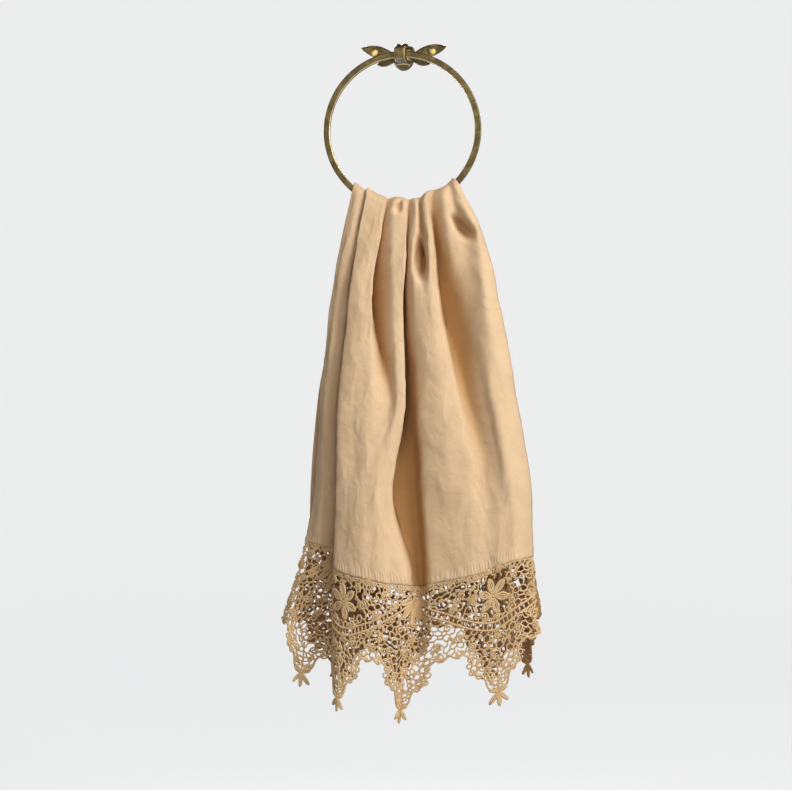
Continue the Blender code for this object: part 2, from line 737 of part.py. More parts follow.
def wall_screw(side_name, side):
    """A round-head screw on a wing, with a straight slot across its head."""
    x = side * SCREW_PLACE[0]
    z = SCREW_PLACE[1]
    back = -PLATE_THICK - SEAM_GAP
    rings = ((1.0, 0.0), (1.0, 0.45), (0.82, 0.8), (0.5, 0.95), (0.2, 1.0))
    steps = 24
    shape = bmesh.new()
    loops = []
    for share, rise in rings:
        loop = []
        for i in range(steps):
            turn = math.tau * i / steps
            radius = SCREW_RADIUS * share
            across = x + radius * math.cos(turn)
            up = z + radius * math.sin(turn)
            loop.append(shape.verts.new((across, back - SCREW_HEIGHT * rise, up)))
        loops.append(loop)
    for near, far in zip(loops, loops[1:]):
        for i in range(steps):
            j = (i + 1) % steps
            shape.faces.new((near[i], near[j], far[j], far[i]))
    shape.faces.new(loops[0])
    shape.faces.new(loops[-1])
    screw = add_object(f"screw_{side_name}", shape, "screw_brass", smooth=True)
    width, depth = SCREW_SLOT
    reach = 1.2 * SCREW_RADIUS
    front = back - SCREW_HEIGHT
    slot_shape = box_shape((-reach, front - 1, -width / 2), (reach, front + depth, width / 2))
    turn = SCREW_TURNS[side_name]
    for vert in slot_shape.verts:
        across, up = vert.co.x, vert.co.z
        vert.co.x = x + across * math.cos(turn) - up * math.sin(turn)
        vert.co.z = z + across * math.sin(turn) + up * math.cos(turn)
    slot = add_object(f"guide_screw_{side_name}", slot_shape, "screw_brass")
    hide_helper(slot)
    cut = screw.modifiers.new("slot", "BOOLEAN")
    cut.operation = "DIFFERENCE"
    cut.object = slot
    return screw


def main():
    """Build every piece in its place."""
    clear_scene()
    front = front_panel()
    back = back_panel(front)
    linen_panel(front, back)
    lace_strip("lace_front", front)
    lace_strip("lace_back", back)
    towel_ring()
    wall_plate()
    ribbed_body()
    clamp_block()
    wall_screw("left", -1)
    wall_screw("right", 1)


if __name__ == "__main__":
    main()
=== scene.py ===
"""A linen hand towel with pointed lace ends, drawn through a brass ring on a winged wall plate.

Sizes in the classes below are in millimetres, and become metres where a mesh is made. Cloth and
lace are first laid out flat, as (along, down), and then hung on the folds of a panel.
"""

import logging
import math
import random
from collections.abc import Sequence
from dataclasses import dataclass, field
from enum import Enum
from typing import Any

import bmesh
import bpy
import numpy as np
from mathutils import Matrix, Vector, noise
from mathutils.geometry import delaunay_2d_cdt


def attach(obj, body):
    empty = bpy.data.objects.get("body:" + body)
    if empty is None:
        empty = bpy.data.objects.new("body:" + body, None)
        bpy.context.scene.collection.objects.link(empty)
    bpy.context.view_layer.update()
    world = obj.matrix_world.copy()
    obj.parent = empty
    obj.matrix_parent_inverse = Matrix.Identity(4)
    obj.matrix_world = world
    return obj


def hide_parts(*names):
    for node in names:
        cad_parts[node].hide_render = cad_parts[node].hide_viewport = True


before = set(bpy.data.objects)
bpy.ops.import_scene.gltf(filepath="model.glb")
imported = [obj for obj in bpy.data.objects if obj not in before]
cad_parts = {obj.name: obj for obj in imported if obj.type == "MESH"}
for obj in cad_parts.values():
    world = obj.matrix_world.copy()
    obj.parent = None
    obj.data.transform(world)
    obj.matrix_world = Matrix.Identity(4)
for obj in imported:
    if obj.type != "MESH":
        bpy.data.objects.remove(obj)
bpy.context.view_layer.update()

log = logging.getLogger("hand_towel")

MM = 0.001
UP = np.array((0.0, 0.0, 1.0))


class Motif(Enum):
    """What stands over a point of the lace."""

    FAN = "leaf fan"
    FLOWER = "flower"


# ---------------------------------------------------------------- shaders


class Signal:
    """A node's output that takes part in Python sums, each sum adding a Math node."""

    def __init__(self, tree: "Tree", socket: bpy.types.NodeSocket) -> None:
        """Wrap one output socket of a tree."""
        self.tree = tree
        self.socket = socket

    def _math(self, operation: str, first: Any, second: Any = 0.0) -> "Signal":
        """Add one Math node for two terms."""
        return self.tree.add("ShaderNodeMath", {"operation": operation}, {0: first, 1: second})

    def __add__(self, other: Any) -> "Signal":
        """Self plus other."""
        return self._math("ADD", self, other)

    __radd__ = __add__

    def __sub__(self, other: Any) -> "Signal":
        """Self minus other."""
        return self._math("SUBTRACT", self, other)

    def __rsub__(self, other: Any) -> "Signal":
        """Other minus self."""
        return self._math("SUBTRACT", other, self)

    def __mul__(self, other: Any) -> "Signal":
        """Self times other."""
        return self._math("MULTIPLY", self, other)

    __rmul__ = __mul__

    def wave(self) -> "Signal":
        """The sine of self, brought to 0 to 1."""
        return self._math("SINE", self) * 0.5 + 0.5

    def size(self) -> "Signal":
        """Self without its sign."""
        return self._math("ABSOLUTE", self)

    def over(self, low: float, high: float) -> "Signal":
        """How far self is from low to high, held within 0 and 1."""
        settings = {"clamp": True, "interpolation_type": "SMOOTHSTEP"}
        return self.tree.add("ShaderNodeMapRange", settings, {0: self, 1: low, 2: high})


class Tree:
    """A node tree, with one method that adds any node."""

    def __init__(self, node_tree: bpy.types.NodeTree) -> None:
        """Work on this tree."""
        self.nodes = node_tree.nodes
        self.links = node_tree.links

    def add(
        self, kind: str, settings: dict[str, Any], values: dict[Any, Any], out: Any = 0
    ) -> Signal:
        """Add a node.

        Args:
            kind: the node's type.
            settings: its own settings, which are set first.
            values: numbers or signals for its inputs.
            out: the output that is wanted.

        Returns:
            The wanted output.
        """
        node = self.nodes.new(kind)
        for name, value in settings.items():
            setattr(node, name, value)
        for key, value in values.items():
            if isinstance(value, Signal):
                self.links.new(value.socket, node.inputs[key])
            else:
                node.inputs[key].default_value = value
        return Signal(self, node.outputs[out])

    def stretched(self, place: Signal, stretch: tuple[float, float, float]) -> Signal:
        """A place with each of its parts multiplied."""
        return self.add("ShaderNodeVectorMath", {"operation": "MULTIPLY"}, {0: place, 1: stretch})

    def grain(self, place: Signal, size: float, detail: float = 2.0) -> Signal:
        """Noise from 0 to 1 whose features have this size."""
        values = {"Vector": place, "Scale": 1.0 / size, "Detail": detail}
        return self.add("ShaderNodeTexNoise", {"noise_dimensions": "3D"}, values)

    def mix(self, share: Any, low: Any, high: Any) -> Signal:
        """Mix two colours.

        Args:
            share: how much of the second, from 0 to 1.
            low: the first colour.
            high: the second colour.

        Returns:
            The mixed colour.
        """
        low = low if isinstance(low, Signal) else (*low, 1.0)
        high = high if isinstance(high, Signal) else (*high, 1.0)
        values = {0: share, 6: low, 7: high}
        return self.add("ShaderNodeMix", {"data_type": "RGBA"}, values, out=2)

    def bump(self, height: Signal, distance: float) -> Signal:
        """A normal from a height."""
        return self.add("ShaderNodeBump", {}, {"Height": height, "Distance": distance})

    def parts(self, vector: Signal) -> tuple[Signal, ...]:
        """The three parts of a vector."""
        split = self.add("ShaderNodeSeparateXYZ", {}, {0: vector})
        return tuple(Signal(self, split.socket.node.outputs[i]) for i in range(3))

    def feed(self, node: str, name: str, value: Any) -> None:
        """Set or link an input of a node that the tree already has.

        Args:
            node: the node's name.
            name: the input's name.
            value: a signal to link, or a constant to set.
        """
        socket = self.nodes[node].inputs[name]
        if isinstance(value, Signal):
            self.links.new(value.socket, socket)
        else:
            socket.default_value = value


class Skin(Tree):
    """A material with its Principled BSDF."""

    def __init__(self, name: str) -> None:
        """Start a material.

        Args:
            name: the material's name.
        """
        self.material = bpy.data.materials.new(name)
        self.material.use_nodes = True
        super().__init__(self.material.node_tree)

    def give(self, name: str, value: Any) -> None:
        """Set or link an input of the Principled BSDF."""
        self.feed("Principled BSDF", name, value)


@dataclass(frozen=True)
class LinenFinish:
    """Washed plain-weave linen in honey beige, slubbed and mottled, with painted shade in valleys.
    """

    name: str = "washed_linen"
    lit: tuple[float, float, float] = (0.70, 0.515, 0.33)
    deep: tuple[float, float, float] = (0.64, 0.455, 0.28)
    # Painted shade: the colour that the valleys between the folds are darkened towards.
    hollow: tuple[float, float, float] = (0.44, 0.25, 0.10)
    thread: float = 0.0009
    slub: float = 0.0022
    slub_length: float = 14.0
    mottle_size: float = 0.03
    fine_size: float = 0.006
    crease_size: float = 0.024
    creased_patch: float = 0.05
    gather: float = 0.0036
    relief: float = 0.0005

    def make(self) -> bpy.types.Material:
        """Make the material from the cloth's own coordinates.

        Returns:
            The material.
        """
        tree = Skin(self.name)
        flat = tree.add("ShaderNodeUVMap", {"uv_map": "cloth"}, {})
        warp = tree.grain(tree.stretched(flat, (1.0, 1.0 / self.slub_length, 1.0)), self.slub)
        weft = tree.grain(tree.stretched(flat, (1.0 / self.slub_length, 1.0, 1.0)), self.slub)
        mottle = tree.grain(flat, self.mottle_size, 3.0)
        fine = tree.grain(flat, self.fine_size, 4.0)
        shade = mottle * 0.5 + fine * 0.25 + (warp + weft) * 0.15
        worn = tree.mix(shade.over(0.36, 0.66), self.deep, self.lit)
        # Painted shade: the "fold" attribute darkens the valleys between folds towards the hollow
        # colour.
        fold = tree.add("ShaderNodeAttribute", {"attribute_name": "fold"}, {}, out="Fac")
        tree.give("Base Color", tree.mix(fold.over(0.0, 1.0), worn, self.hollow))
        turns = math.tau / self.thread
        along, down, _ = tree.parts(flat)
        weave = (along * turns).wave() * (down * turns).wave()
        creased = (0.5 - tree.grain(flat, self.crease_size, 2.5)).size() * 12
        patch = tree.grain(flat, self.creased_patch, 1.0).over(0.45, 0.6)
        crease = (1 - creased.over(0.0, 1.0)) * patch
        gather = (along * (math.tau / self.gather) + mottle * 22).wave()
        hem = tree.add("ShaderNodeAttribute", {"attribute_name": "hem"}, {}, out="Fac")
        height = (warp + weft) * 0.25 + weave * 0.2 + fine * 0.8 + mottle * 1.5
        height = height + crease * 0.3 + gather * hem * (0.1 + fine * 1.4)
        tree.give("Normal", tree.bump(height, self.relief))
        tree.give("Roughness", 0.88)
        tree.give("Sheen Weight", 0.04)
        tree.give("Sheen Roughness", 0.5)
        tree.give("Specular IOR Level", 0.2)
        return tree.material


@dataclass(frozen=True)
class LaceFinish:
    """Matte twisted cord in golden beige, with painted shade on the side that hangs inward."""

    name: str = "guipure_cord"
    lit: tuple[float, float, float] = (0.73, 0.53, 0.30)
    deep: tuple[float, float, float] = (0.60, 0.40, 0.20)
    # Painted shade: the colour of the cords' sides that face the inside of the towel.
    hidden: tuple[float, float, float] = (0.38, 0.215, 0.09)
    twist: float = 0.0014
    mottle_size: float = 0.009
    relief: float = 0.00025

    def make(self) -> bpy.types.Material:
        """Make the material from the cord's own coordinates and its place.

        Returns:
            The material.
        """
        tree = Skin(self.name)
        round_cord = tree.add("ShaderNodeUVMap", {"uv_map": "cord"}, {})
        along, turn, _ = tree.parts(round_cord)
        ply = (along * (math.tau / self.twist) + turn * math.tau).wave()
        place = tree.add("ShaderNodeTexCoord", {}, {}, out="Object")
        mottle = tree.grain(place, self.mottle_size, 3.0)
        shade = mottle * 0.8 + ply * 0.2
        # Painted shade: the "inner" attribute darkens the cords' sides that face the inside of the
        # towel.
        inner = tree.add("ShaderNodeAttribute", {"attribute_name": "inner"}, {}, out="Fac")
        golden = tree.mix(shade.over(0.3, 0.72), self.deep, self.lit)
        tree.give("Base Color", tree.mix(inner.over(0.3, 0.8), golden, self.hidden))
        tree.give("Normal", tree.bump(ply + mottle * 0.4, self.relief))
        tree.give("Roughness", 0.8)
        tree.give("Sheen Weight", 0.1)
        tree.give("Specular IOR Level", 0.25)
        return tree.material


@dataclass(frozen=True)
class BrassFinish:
    """Brass that has darkened, with edges rubbed bright."""

    name: str
    dark: tuple[float, float, float]
    warm: tuple[float, float, float]
    rubbed: tuple[float, float, float]
    rough: float = 0.42
    metal: float = 0.85
    cloud_size: float = 0.007
    speck_size: float = 0.0011
    relief: float = 0.00012

    def make(self) -> bpy.types.Material:
        """Make the material; the mesh says by "wear" where its edges are rubbed.

        Returns:
            The material.
        """
        tree = Skin(self.name)
        place = tree.add("ShaderNodeTexCoord", {}, {}, out="Object")
        cloud = tree.grain(place, self.cloud_size, 4.0)
        speck = tree.grain(place, self.speck_size, 3.0)
        wear = tree.add("ShaderNodeAttribute", {"attribute_name": "wear"}, {}, out="Fac")
        rubbed = (wear + (cloud - 0.5) * 0.5 * wear).over(0.3, 0.95)
        skin = tree.mix((cloud * 0.75 + speck * 0.25).over(0.38, 0.64), self.dark, self.warm)
        tree.give("Base Color", tree.mix(rubbed, skin, self.rubbed))
        tree.give("Roughness", self.rough + (speck - 0.5) * 0.25 - rubbed * 0.12)
        tree.give("Metallic", self.metal)
        tree.give("Normal", tree.bump(speck + cloud * 0.6, self.relief))
        return tree.material


# ---------------------------------------------------------------- meshes


def add_object(name: str, data: bpy.types.ID) -> bpy.types.Object:
    """Put a mesh, light or camera into the scene.

    Args:
        name: the object's name.
        data: what it shows.

    Returns:
        The object.
    """
    made = bpy.data.objects.new(name, data)
    bpy.context.scene.collection.objects.link(made)
    return made


def new_object(
    name: str, points: np.ndarray, faces: Sequence[Sequence[int]], finish: bpy.types.Material
) -> bpy.types.Object:
    """Make a smooth mesh object.

    Args:
        name: the piece's name.
        points: its vertices in millimetres.
        faces: its faces, as vertex numbers.
        finish: its material.

    Returns:
        The object, in metres.
    """
    mesh = bpy.data.meshes.new(name)
    mesh.from_pydata((np.asarray(points, float) * MM).tolist(), [], list(faces))
    mesh.materials.append(finish)
    mesh.shade_smooth()
    return add_object(name, mesh)


def set_corners(piece: bpy.types.Object, name: str, places: np.ndarray) -> None:
    """Give the mesh a UV map with one place for each face corner."""
    layer = piece.data.uv_layers.new(name=name)
    layer.data.foreach_set("uv", np.asarray(places, np.float32).ravel())


def set_points(piece: bpy.types.Object, name: str, values: Sequence[float]) -> None:
    """Give the mesh a named number from 0 to 1 for each vertex."""
    layer = piece.data.attributes.new(name, "FLOAT", "POINT")
    layer.data.foreach_set("value", np.asarray(values, np.float32))


def quads(
    rows: int, columns: int, round_rows: bool = False, round_columns: bool = False
) -> np.ndarray:
    """Faces between the vertices of a grid.

    Args:
        rows: how many rows of vertices there are.
        columns: how many vertices a row has.
        round_rows: whether the last row joins the first.
        round_columns: whether the last column joins the first.

    Returns:
        Four vertex numbers for each face.
    """
    i = np.arange(rows if round_rows else rows - 1)[:, None]
    j = np.arange(columns if round_columns else columns - 1)[None]
    after, beside = (i + 1) % rows, (j + 1) % columns
    corners = [(i, j), (i, beside), (after, beside), (after, j)]
    return np.stack([a * columns + b for a, b in corners], axis=-1).reshape(-1, 4)


def flow(knots: np.ndarray, values: np.ndarray, wanted: np.ndarray) -> np.ndarray:
    """Values on curves through knots that never overshoot them.

    Args:
        knots: rising places, one column for each curve or one for all.
        values: the values there, one column for each curve.
        wanted: the places that are asked for.

    Returns:
        One column for each curve.
    """
    knots, values = np.broadcast_arrays(knots, values)
    wanted = np.broadcast_to(wanted, (wanted.shape[0], values.shape[1]))
    widths = np.diff(knots, axis=0)
    slopes = np.diff(values, axis=0) / widths
    before, after = slopes[:-1], slopes[1:]
    near = 2 * widths[1:] + widths[:-1]
    far = widths[1:] + 2 * widths[:-1]
    same = before * after > 0
    weight = near / np.where(same, before, 1.0) + far / np.where(same, after, 1.0)
    inner = np.where(same, (near + far) / np.where(same, weight, 1.0), 0.0)
    tangents = np.concatenate([slopes[:1], inner, slopes[-1:]])
    i = (wanted[:, None] > knots[None, 1:-1]).sum(axis=1)
    width = np.take_along_axis(widths, i, axis=0)
    u = (wanted - np.take_along_axis(knots, i, axis=0)) / width
    low = np.take_along_axis(values, i, axis=0)
    high = np.take_along_axis(values, i + 1, axis=0)
    start = np.take_along_axis(tangents, i, axis=0) * width
    end = np.take_along_axis(tangents, i + 1, axis=0) * width
    return (
        low * (1 + 2 * u) * (1 - u) ** 2
        + start * u * (1 - u) ** 2
        + high * u * u * (3 - 2 * u)
        - end * u * u * (1 - u)
    )


def ripple(along: np.ndarray, down: np.ndarray, seed: float) -> np.ndarray:
    """Smooth noise over flat places whose unit is one feature.

    Args:
        along: places along the cloth.
        down: places down the cloth.
        seed: picks the noise.

    Returns:
        Values from about -1 to 1.
    """
    flat = zip(along.ravel().tolist(), down.ravel().tolist())
    values = [noise.noise(Vector((x, y, seed))) for x, y in flat]
    return np.array(values).reshape(along.shape)


@dataclass(frozen=True)
class Ripple:
    """Smooth waves of cloth: their height, their sizes along and down, and a seed."""

    height: float
    along: float
    down: float
    seed: float

    def at(self, along: np.ndarray, down: np.ndarray) -> np.ndarray:
        """The waves' height at flat places."""
        return self.height * ripple(along / self.along, down / self.down, self.seed)


def fade(value: np.ndarray, start: float, end: float) -> np.ndarray:
    """A smooth step from 1 at start to 0 at end."""
    share = np.clip((value - start) / (end - start), 0.0, 1.0)
    return 1.0 - share * share * (3 - 2 * share)


def unit(vectors: np.ndarray) -> np.ndarray:
    """Vectors brought to length one."""
    return vectors / np.maximum(np.linalg.norm(vectors, axis=-1, keepdims=True), 1e-9)


# ---------------------------------------------------------------- folds


@dataclass(frozen=True)
class Sight:
    """The line of sight along which the folds are measured."""

    centre: tuple[float, float, float] = (1.8, -30.0, -78.5)
    turn: float = math.radians(6.8)
    distance: float = 1750.0
    left: float = 6.2
    below: float = 264.5

    def right(self) -> np.ndarray:
        """The level direction to the viewer's right."""
        return np.array((math.cos(self.turn), math.sin(self.turn), 0.0))

    def ahead(self) -> np.ndarray:
        """The level direction away from the viewer."""
        return np.array((-math.sin(self.turn), math.cos(self.turn), 0.0))

    def eye(self) -> np.ndarray:
        """The viewer's place."""
        back = self.distance * self.ahead() + self.left * self.right()
        return np.array(self.centre) - back - self.below * UP

    def seen(self, places: np.ndarray) -> tuple[np.ndarray, np.ndarray]:
        """Tell where places are seen.

        Args:
            places: points in the object's frame.

        Returns:
            How far across and how far below the ring's middle they are seen.
        """
        away = places - self.eye()
        reach = (np.array(self.centre) - self.eye()) @ self.ahead()
        flat = self.eye() + away * (reach / (away @ self.ahead()))[..., None] - self.centre
        return flat @ self.right(), -flat[..., 2]

    def place(self, seen: np.ndarray) -> np.ndarray:
        """Carry seen places out to the depth they stand at.

        Args:
            seen: across, below and forward of the ring's middle, in the last axis.

        Returns:
            The places in the object's frame.
        """
        across, below, forward = np.moveaxis(seen, -1, 0)
        flat = self.centre + across[..., None] * self.right() - below[..., None] * UP
        eye = self.eye()
        share = (self.centre[1] - forward - eye[1]) / (flat[..., 1] - eye[1])
        return eye + (flat - eye) * share[..., None]


@dataclass(frozen=True)
class Fold:
    """One line down the front: its place on the flat cloth and where it hangs at each level."""

    cloth: float
    crest: float
    lift: float
    levels: tuple[tuple[float, float], ...]
    drop: float


# Levels are (across, forward) at shoulder, neck, upper, middle, lower, hem and scallops.
FRONT_FOLDS = {
    "left edge": Fold(0, -47, 3, (
        (-50, 8), (-61, 7), (-71, 5), (-82, 2), (-88, -2), (-97, -3), (-121, -2)), 411),
    "shaded strip": Fold(18, -43, 3, (
        (-45, 10), (-53, 11), (-65, 10), (-75, 9), (-80, 7), (-84, 6), (-114, 7)), 414),
    "shaded trough": Fold(30, -39, 3, (
        (-40, 9), (-47, 9), (-57, 8), (-66, 6), (-71, 4), (-74, 2), (-108, 4)), 416),
    "tucked layer": Fold(48, -35, 3, (
        (-36, 6), (-42, 5), (-50, 0), (-56, -4), (-57, -6), (-60, -7), (-94, -8)), 420),
    "hidden turn": Fold(78, -31, 4.6, (
        (-31, 8.6), (-34, 9), (-38, 5), (-38, 5), (-37, 5), (-38, 5), (-60, 3)), 426),
    "left fold": Fold(115, -35, 6.2, (
        (-36, 12.4), (-45, 16), (-53, 23), (-63, 28), (-66, 30), (-68, 30), (-70, 24)), 436),
    "left face": Fold(136, -26, 5, (
        (-26, 12), (-33, 18), (-42, 27), (-50, 34), (-53, 37), (-56, 38), (-61, 35)), 444),
    "left side": Fold(163, -17, 4, (
        (-17, 12), (-23, 17), (-31, 26), (-32, 36), (-36, 42), (-37, 44), (-42, 38)), 449),
    "left valley": Fold(178, -14, 3, (
        (-16.5, 4.8), (-25, -1.5), (-31, -4), (-13, 30), (-27, 42), (-24, 44), (-31, 38)), 452),
    "middle ridge": Fold(194, -5, 6.4, (
        (-7, 13), (-9, 14), (-8, 21), (-5, 35), (-19, 38), (-12, 40), (-21, 36)), 454),
    "middle lip": Fold(210, 4, 4.4, (
        (4, 11), (3, 14), (0, 21), (2.5, 30), (-10, 30), (3, 35), (-6, 33)), 455),
    "deep valley": Fold(226, 6.5, 3, (
        (6.5, 6.6), (5, 3), (1.5, -4), (2.5, -5), (-10, -2), (13, 14), (3, 21)), 456),
    "right lip": Fold(240, 9, 3.8, (
        (9, 9), (7.5, 12), (6.5, 14), (9.5, 6), (13, 2), (20.5, 9), (15, 22)), 456),
    "small ridge": Fold(252, 13, 4, (
        (14, 14), (13.5, 16), (13, 23), (17, 24), (21.5, 24.5), (27.5, 27), (28, 27)), 454),
    "teardrop": Fold(263, 18, 3, (
        (18, 7), (20.5, 5), (21, 25), (28, 30), (35, 30.5), (43, 31), (40, 30)), 451),
    "narrow ridge": Fold(276, 21.5, 6, (
        (20.5, 13), (26.5, 18), (28, 26), (40, 32), (50, 34), (57, 34), (53, 32)), 448),
    "right ridge": Fold(291, 26, 7, (
        (23, 14), (29, 16), (35.5, 23), (53, 29), (66, 34.5), (72, 36), (69, 32)), 445),
    "right valley": Fold(316, 32, 5, (
        (29.5, 5.8), (33.5, -3), (39, -4), (67, 17), (86, 31), (90, 35), (95, 31)), 438),
    "shoulder ridge": Fold(331, 41, 3, (
        (41, 12), (48, 14), (56, 8), (82, 24), (99, 33.5), (103, 36), (109, 30)), 433),
    "pocket": Fold(342, 46, 3, (
        (49, 8), (62, 11), (73, 19), (92, 31), (108, 36), (113, 35), (119, 29)), 430),
    "right face": Fold(351, 48.5, 3.2, (
        (54.5, 11), (76, 16), (84, 25), (104, 27), (119, 30), (123, 29), (129, 25)), 428),
    "right edge": Fold(360, 50.5, 3.3, (
        (58.5, 8), (83, 9), (97, 15), (115, 15), (128.5, 16), (131, 15), (138, 12)), 426),
}


@dataclass(frozen=True)
class Dent:
    """A hollow in the front: where on the cloth, and where it is seen across and below."""

    cloth: tuple[float, float]
    middle: tuple[float, float]
    half: tuple[float, float]
    tilt: float
    depth: float
    crisp: float

    def deepen(self, cloth: np.ndarray, across: np.ndarray, below: np.ndarray) -> np.ndarray:
        """Tell how far back the hollow pushes the cloth.

        Args:
            cloth: places across the flat cloth.
            across: how far across they are seen.
            below: how far below the ring's middle they are seen.

        Returns:
            Millimetres away from the viewer.
        """
        lean = math.radians(self.tilt)
        x, y = across - self.middle[0], below - self.middle[1]
        aside = (x * math.cos(lean) - y * math.sin(lean)) / self.half[0]
        along = (x * math.sin(lean) + y * math.cos(lean)) / self.half[1]
        narrow = 1.0 + 0.45 * np.clip(along, -1.0, 1.0)
        reach = np.hypot(aside / np.maximum(narrow, 0.4), along)
        aside = np.minimum(cloth - self.cloth[0], self.cloth[1] - cloth)
        return self.depth * fade(reach, self.crisp, 1.0) * (1.0 - fade(aside, 0.0, 5.0))


DENTS = (
    Dent((245, 283), (17.2, 127), (9.0, 27), 5, 13.0, 0.4),
    Dent((318, 364), (59.5, 96), (9.0, 21), 44, 11.0, 0.4),
    Dent((322, 366), (66.0, 84), (6.5, 24), 40, -3.5, 0.4),
    Dent((178, 212), (-4.0, 76), (5.5, 9), -20, 6.0, 0.3),
)


# The back's folds: place on the cloth, across at the shoulder, (across, forward) at the hem and
# at the scallops, drop.
BACK_FOLDS = (
    (0, -50, (-93, -17), (-112, -16), 410), (24, -43.5, (-77, -22), (-87, -22), 412),
    (45, -37.5, (-60, -14), (-60, -14), 413), (68, -34.5, (-37, -15), (-37, -15), 414),
    (78, -33.5, (-37, -19.5), (-37, -19.5), 414), (90, -32, (-50, -20), (-50, -20), 414),
    (103, -30.5, (-50, -24.5), (-50, -24.5), 414), (120, -28.5, (-27, -25), (-27, -25), 415),
    (140, -25, (2, -22), (3, -22), 416), (165, -17, (31, -14), (31, -14), 416),
    (195, -4.5, (60, -23), (60, -23), 416), (225, 6.5, (84, -14), (86, -14), 415),
    (246, 11.5, (105, -15), (109, -15), 413), (252, 13.5, (105, -19.5), (109, -19.5), 413),
    (270, 19.5, (88, -20), (92, -20), 413), (276, 21.5, (88, -24.5), (92, -24.5), 413),
    (300, 28, (107, -25), (112, -25), 411), (316, 32.5, (115, -22), (122, -22), 410),
    (340, 48, (122, -15), (131, -15), 408), (360, 58.5, (128, -18), (140, -18), 407),
)  # fmt: skip


@dataclass(frozen=True)
class Drape:
    """How both halves of the cloth hang from the ring's bar."""

    width: float = 360.0
    bar: float = 72.8
    arch: float = 9.0
    lace_depth: float = 80.0
    heights: tuple[float, ...] = (110.0, 170.0, 270.0, 360.0)
    spread: tuple[float, ...] = (0.16, 0.36, 0.8, 0.97)
    sink: tuple[float, ...] = (0.27, 0.5, 0.8, 0.95)
    back_shoulder: float = -4.5

    def front(self) -> "Panel":
        """Lay the front half through every fold at every level.

        Returns:
            The front half.
        """
        folds = list(FRONT_FOLDS.values())
        knots = np.array([fold.cloth for fold in folds], float)
        crest = np.array([fold.crest for fold in folds], float)
        lift = np.array([fold.lift for fold in folds], float)
        drop = np.array([fold.drop for fold in folds], float)
        below = np.sqrt((self.bar - lift) ** 2 - crest**2)
        seen = np.array([fold.levels for fold in folds], float)
        levels = [np.stack([crest, below, np.zeros_like(crest)], axis=1)]
        heights = [below + self.arch]
        heights += [np.full_like(crest, height) for height in self.heights]
        heights += [drop, drop + self.lace_depth]
        for i, height in enumerate(heights):
            levels.append(np.stack([seen[:, i, 0], height, seen[:, i, 1]], axis=1))
        return Panel(knots, np.stack(levels), self.lace_depth)

    def back(self, front: "Panel") -> "Panel":
        """Lay the back half, which starts at the front's crest and fans out to its own hem.

        Args:
            front: the front half.

        Returns:
            The back half.
        """
        cloth = np.arange(0.0, self.width + 0.5, 1.0)
        start = front.columns(cloth)
        knots = np.array([row[0] for row in BACK_FOLDS], float)[:, None]
        table = np.array([[row[1], *row[2], *row[3], row[4]] for row in BACK_FOLDS], float)
        gathered, hem_x, hem_y, lace_x, lace_y, drop = flow(knots, table, cloth[:, None]).T
        lifts = np.array([[fold.cloth, fold.lift] for fold in FRONT_FOLDS.values()], float)
        lift = flow(lifts[:, :1], lifts[:, 1:], cloth[:, None])
        behind = self.back_shoulder - lift[:, 0]
        levels = [start[0], np.stack([gathered, start[1][:, 1], behind], axis=1)]
        for height, spread, sink in zip(self.heights, self.spread, self.sink):
            across = gathered * (1 - spread) + hem_x * spread
            forward = behind * (1 - sink) + hem_y * sink
            levels.append(np.stack([across, hem_x * 0 + height, forward], axis=1))
        levels.append(np.stack([hem_x, drop, hem_y], axis=1))
        levels.append(np.stack([lace_x, drop + self.lace_depth, lace_y], axis=1))
        return Panel(cloth, np.stack(levels), self.lace_depth)


@dataclass(frozen=True)
class Panel:
    """One half of the hanging cloth: fold lines at each level and the surface through them."""

    knots: np.ndarray
    levels: np.ndarray
    lace_depth: float
    slant: float = 0.1
    sight: Sight = Sight()

    def columns(self, cloth: np.ndarray) -> np.ndarray:
        """Work out the lines down the cloth.

        Args:
            cloth: places across the flat cloth.

        Returns:
            Across, below and forward in the last axis, for each level and each place.
        """
        count = len(self.levels)
        values = self.levels.transpose(1, 0, 2).reshape(len(self.knots), -1)
        found = flow(self.knots[:, None], values, cloth[:, None])
        return found.reshape(len(cloth), count, 3).transpose(1, 0, 2)

    def surface(self, cloth: np.ndarray, rows: np.ndarray) -> np.ndarray:
        """The hanging surface.

        Args:
            cloth: places across the flat cloth.
            rows: 0 is the crest, 1 the shoulder, 6 the hem, 7 the scallops, then straight on.

        Returns:
            Points with the rows in the first axis.
        """
        levels = self.columns(cloth)
        last = len(levels) - 1
        row = rows[:, None]
        knot = np.clip(rows.astype(int), 1, last - 1)
        share = np.clip(row - knot[:, None], 0.0, 1.0)
        heights = levels[1:, :, 1]
        below = levels[knot, :, 1] * (1 - share) + levels[knot + 1, :, 1] * share
        across = flow(heights, levels[1:, :, 0], below)
        forward = flow(heights, levels[1:, :, 2], below)
        turn = np.clip(row, 0.0, 1.0) * math.pi / 2
        over_bar = row < 1
        crest, shoulder = levels[0], levels[1]
        across = np.where(over_bar, crest[:, 0] + (shoulder[:, 0] - crest[:, 0]) * row, across)
        rise = crest[:, 1] + (shoulder[:, 1] - crest[:, 1]) * (1 - np.cos(turn))
        below = np.where(over_bar, rise, below)
        forward = np.where(over_bar, shoulder[:, 2] * np.sin(turn), forward)
        spare = np.clip(row - last, 0.0, None) * self.lace_depth
        hang = np.clip((levels[-1] - levels[-2]) / self.lace_depth, -self.slant, self.slant)
        across, forward = across + hang[:, 0] * spare, forward + hang[:, 2] * spare
        return self.sight.place(np.stack([across, below + spare, forward], axis=-1))


# ---------------------------------------------------------------- linen


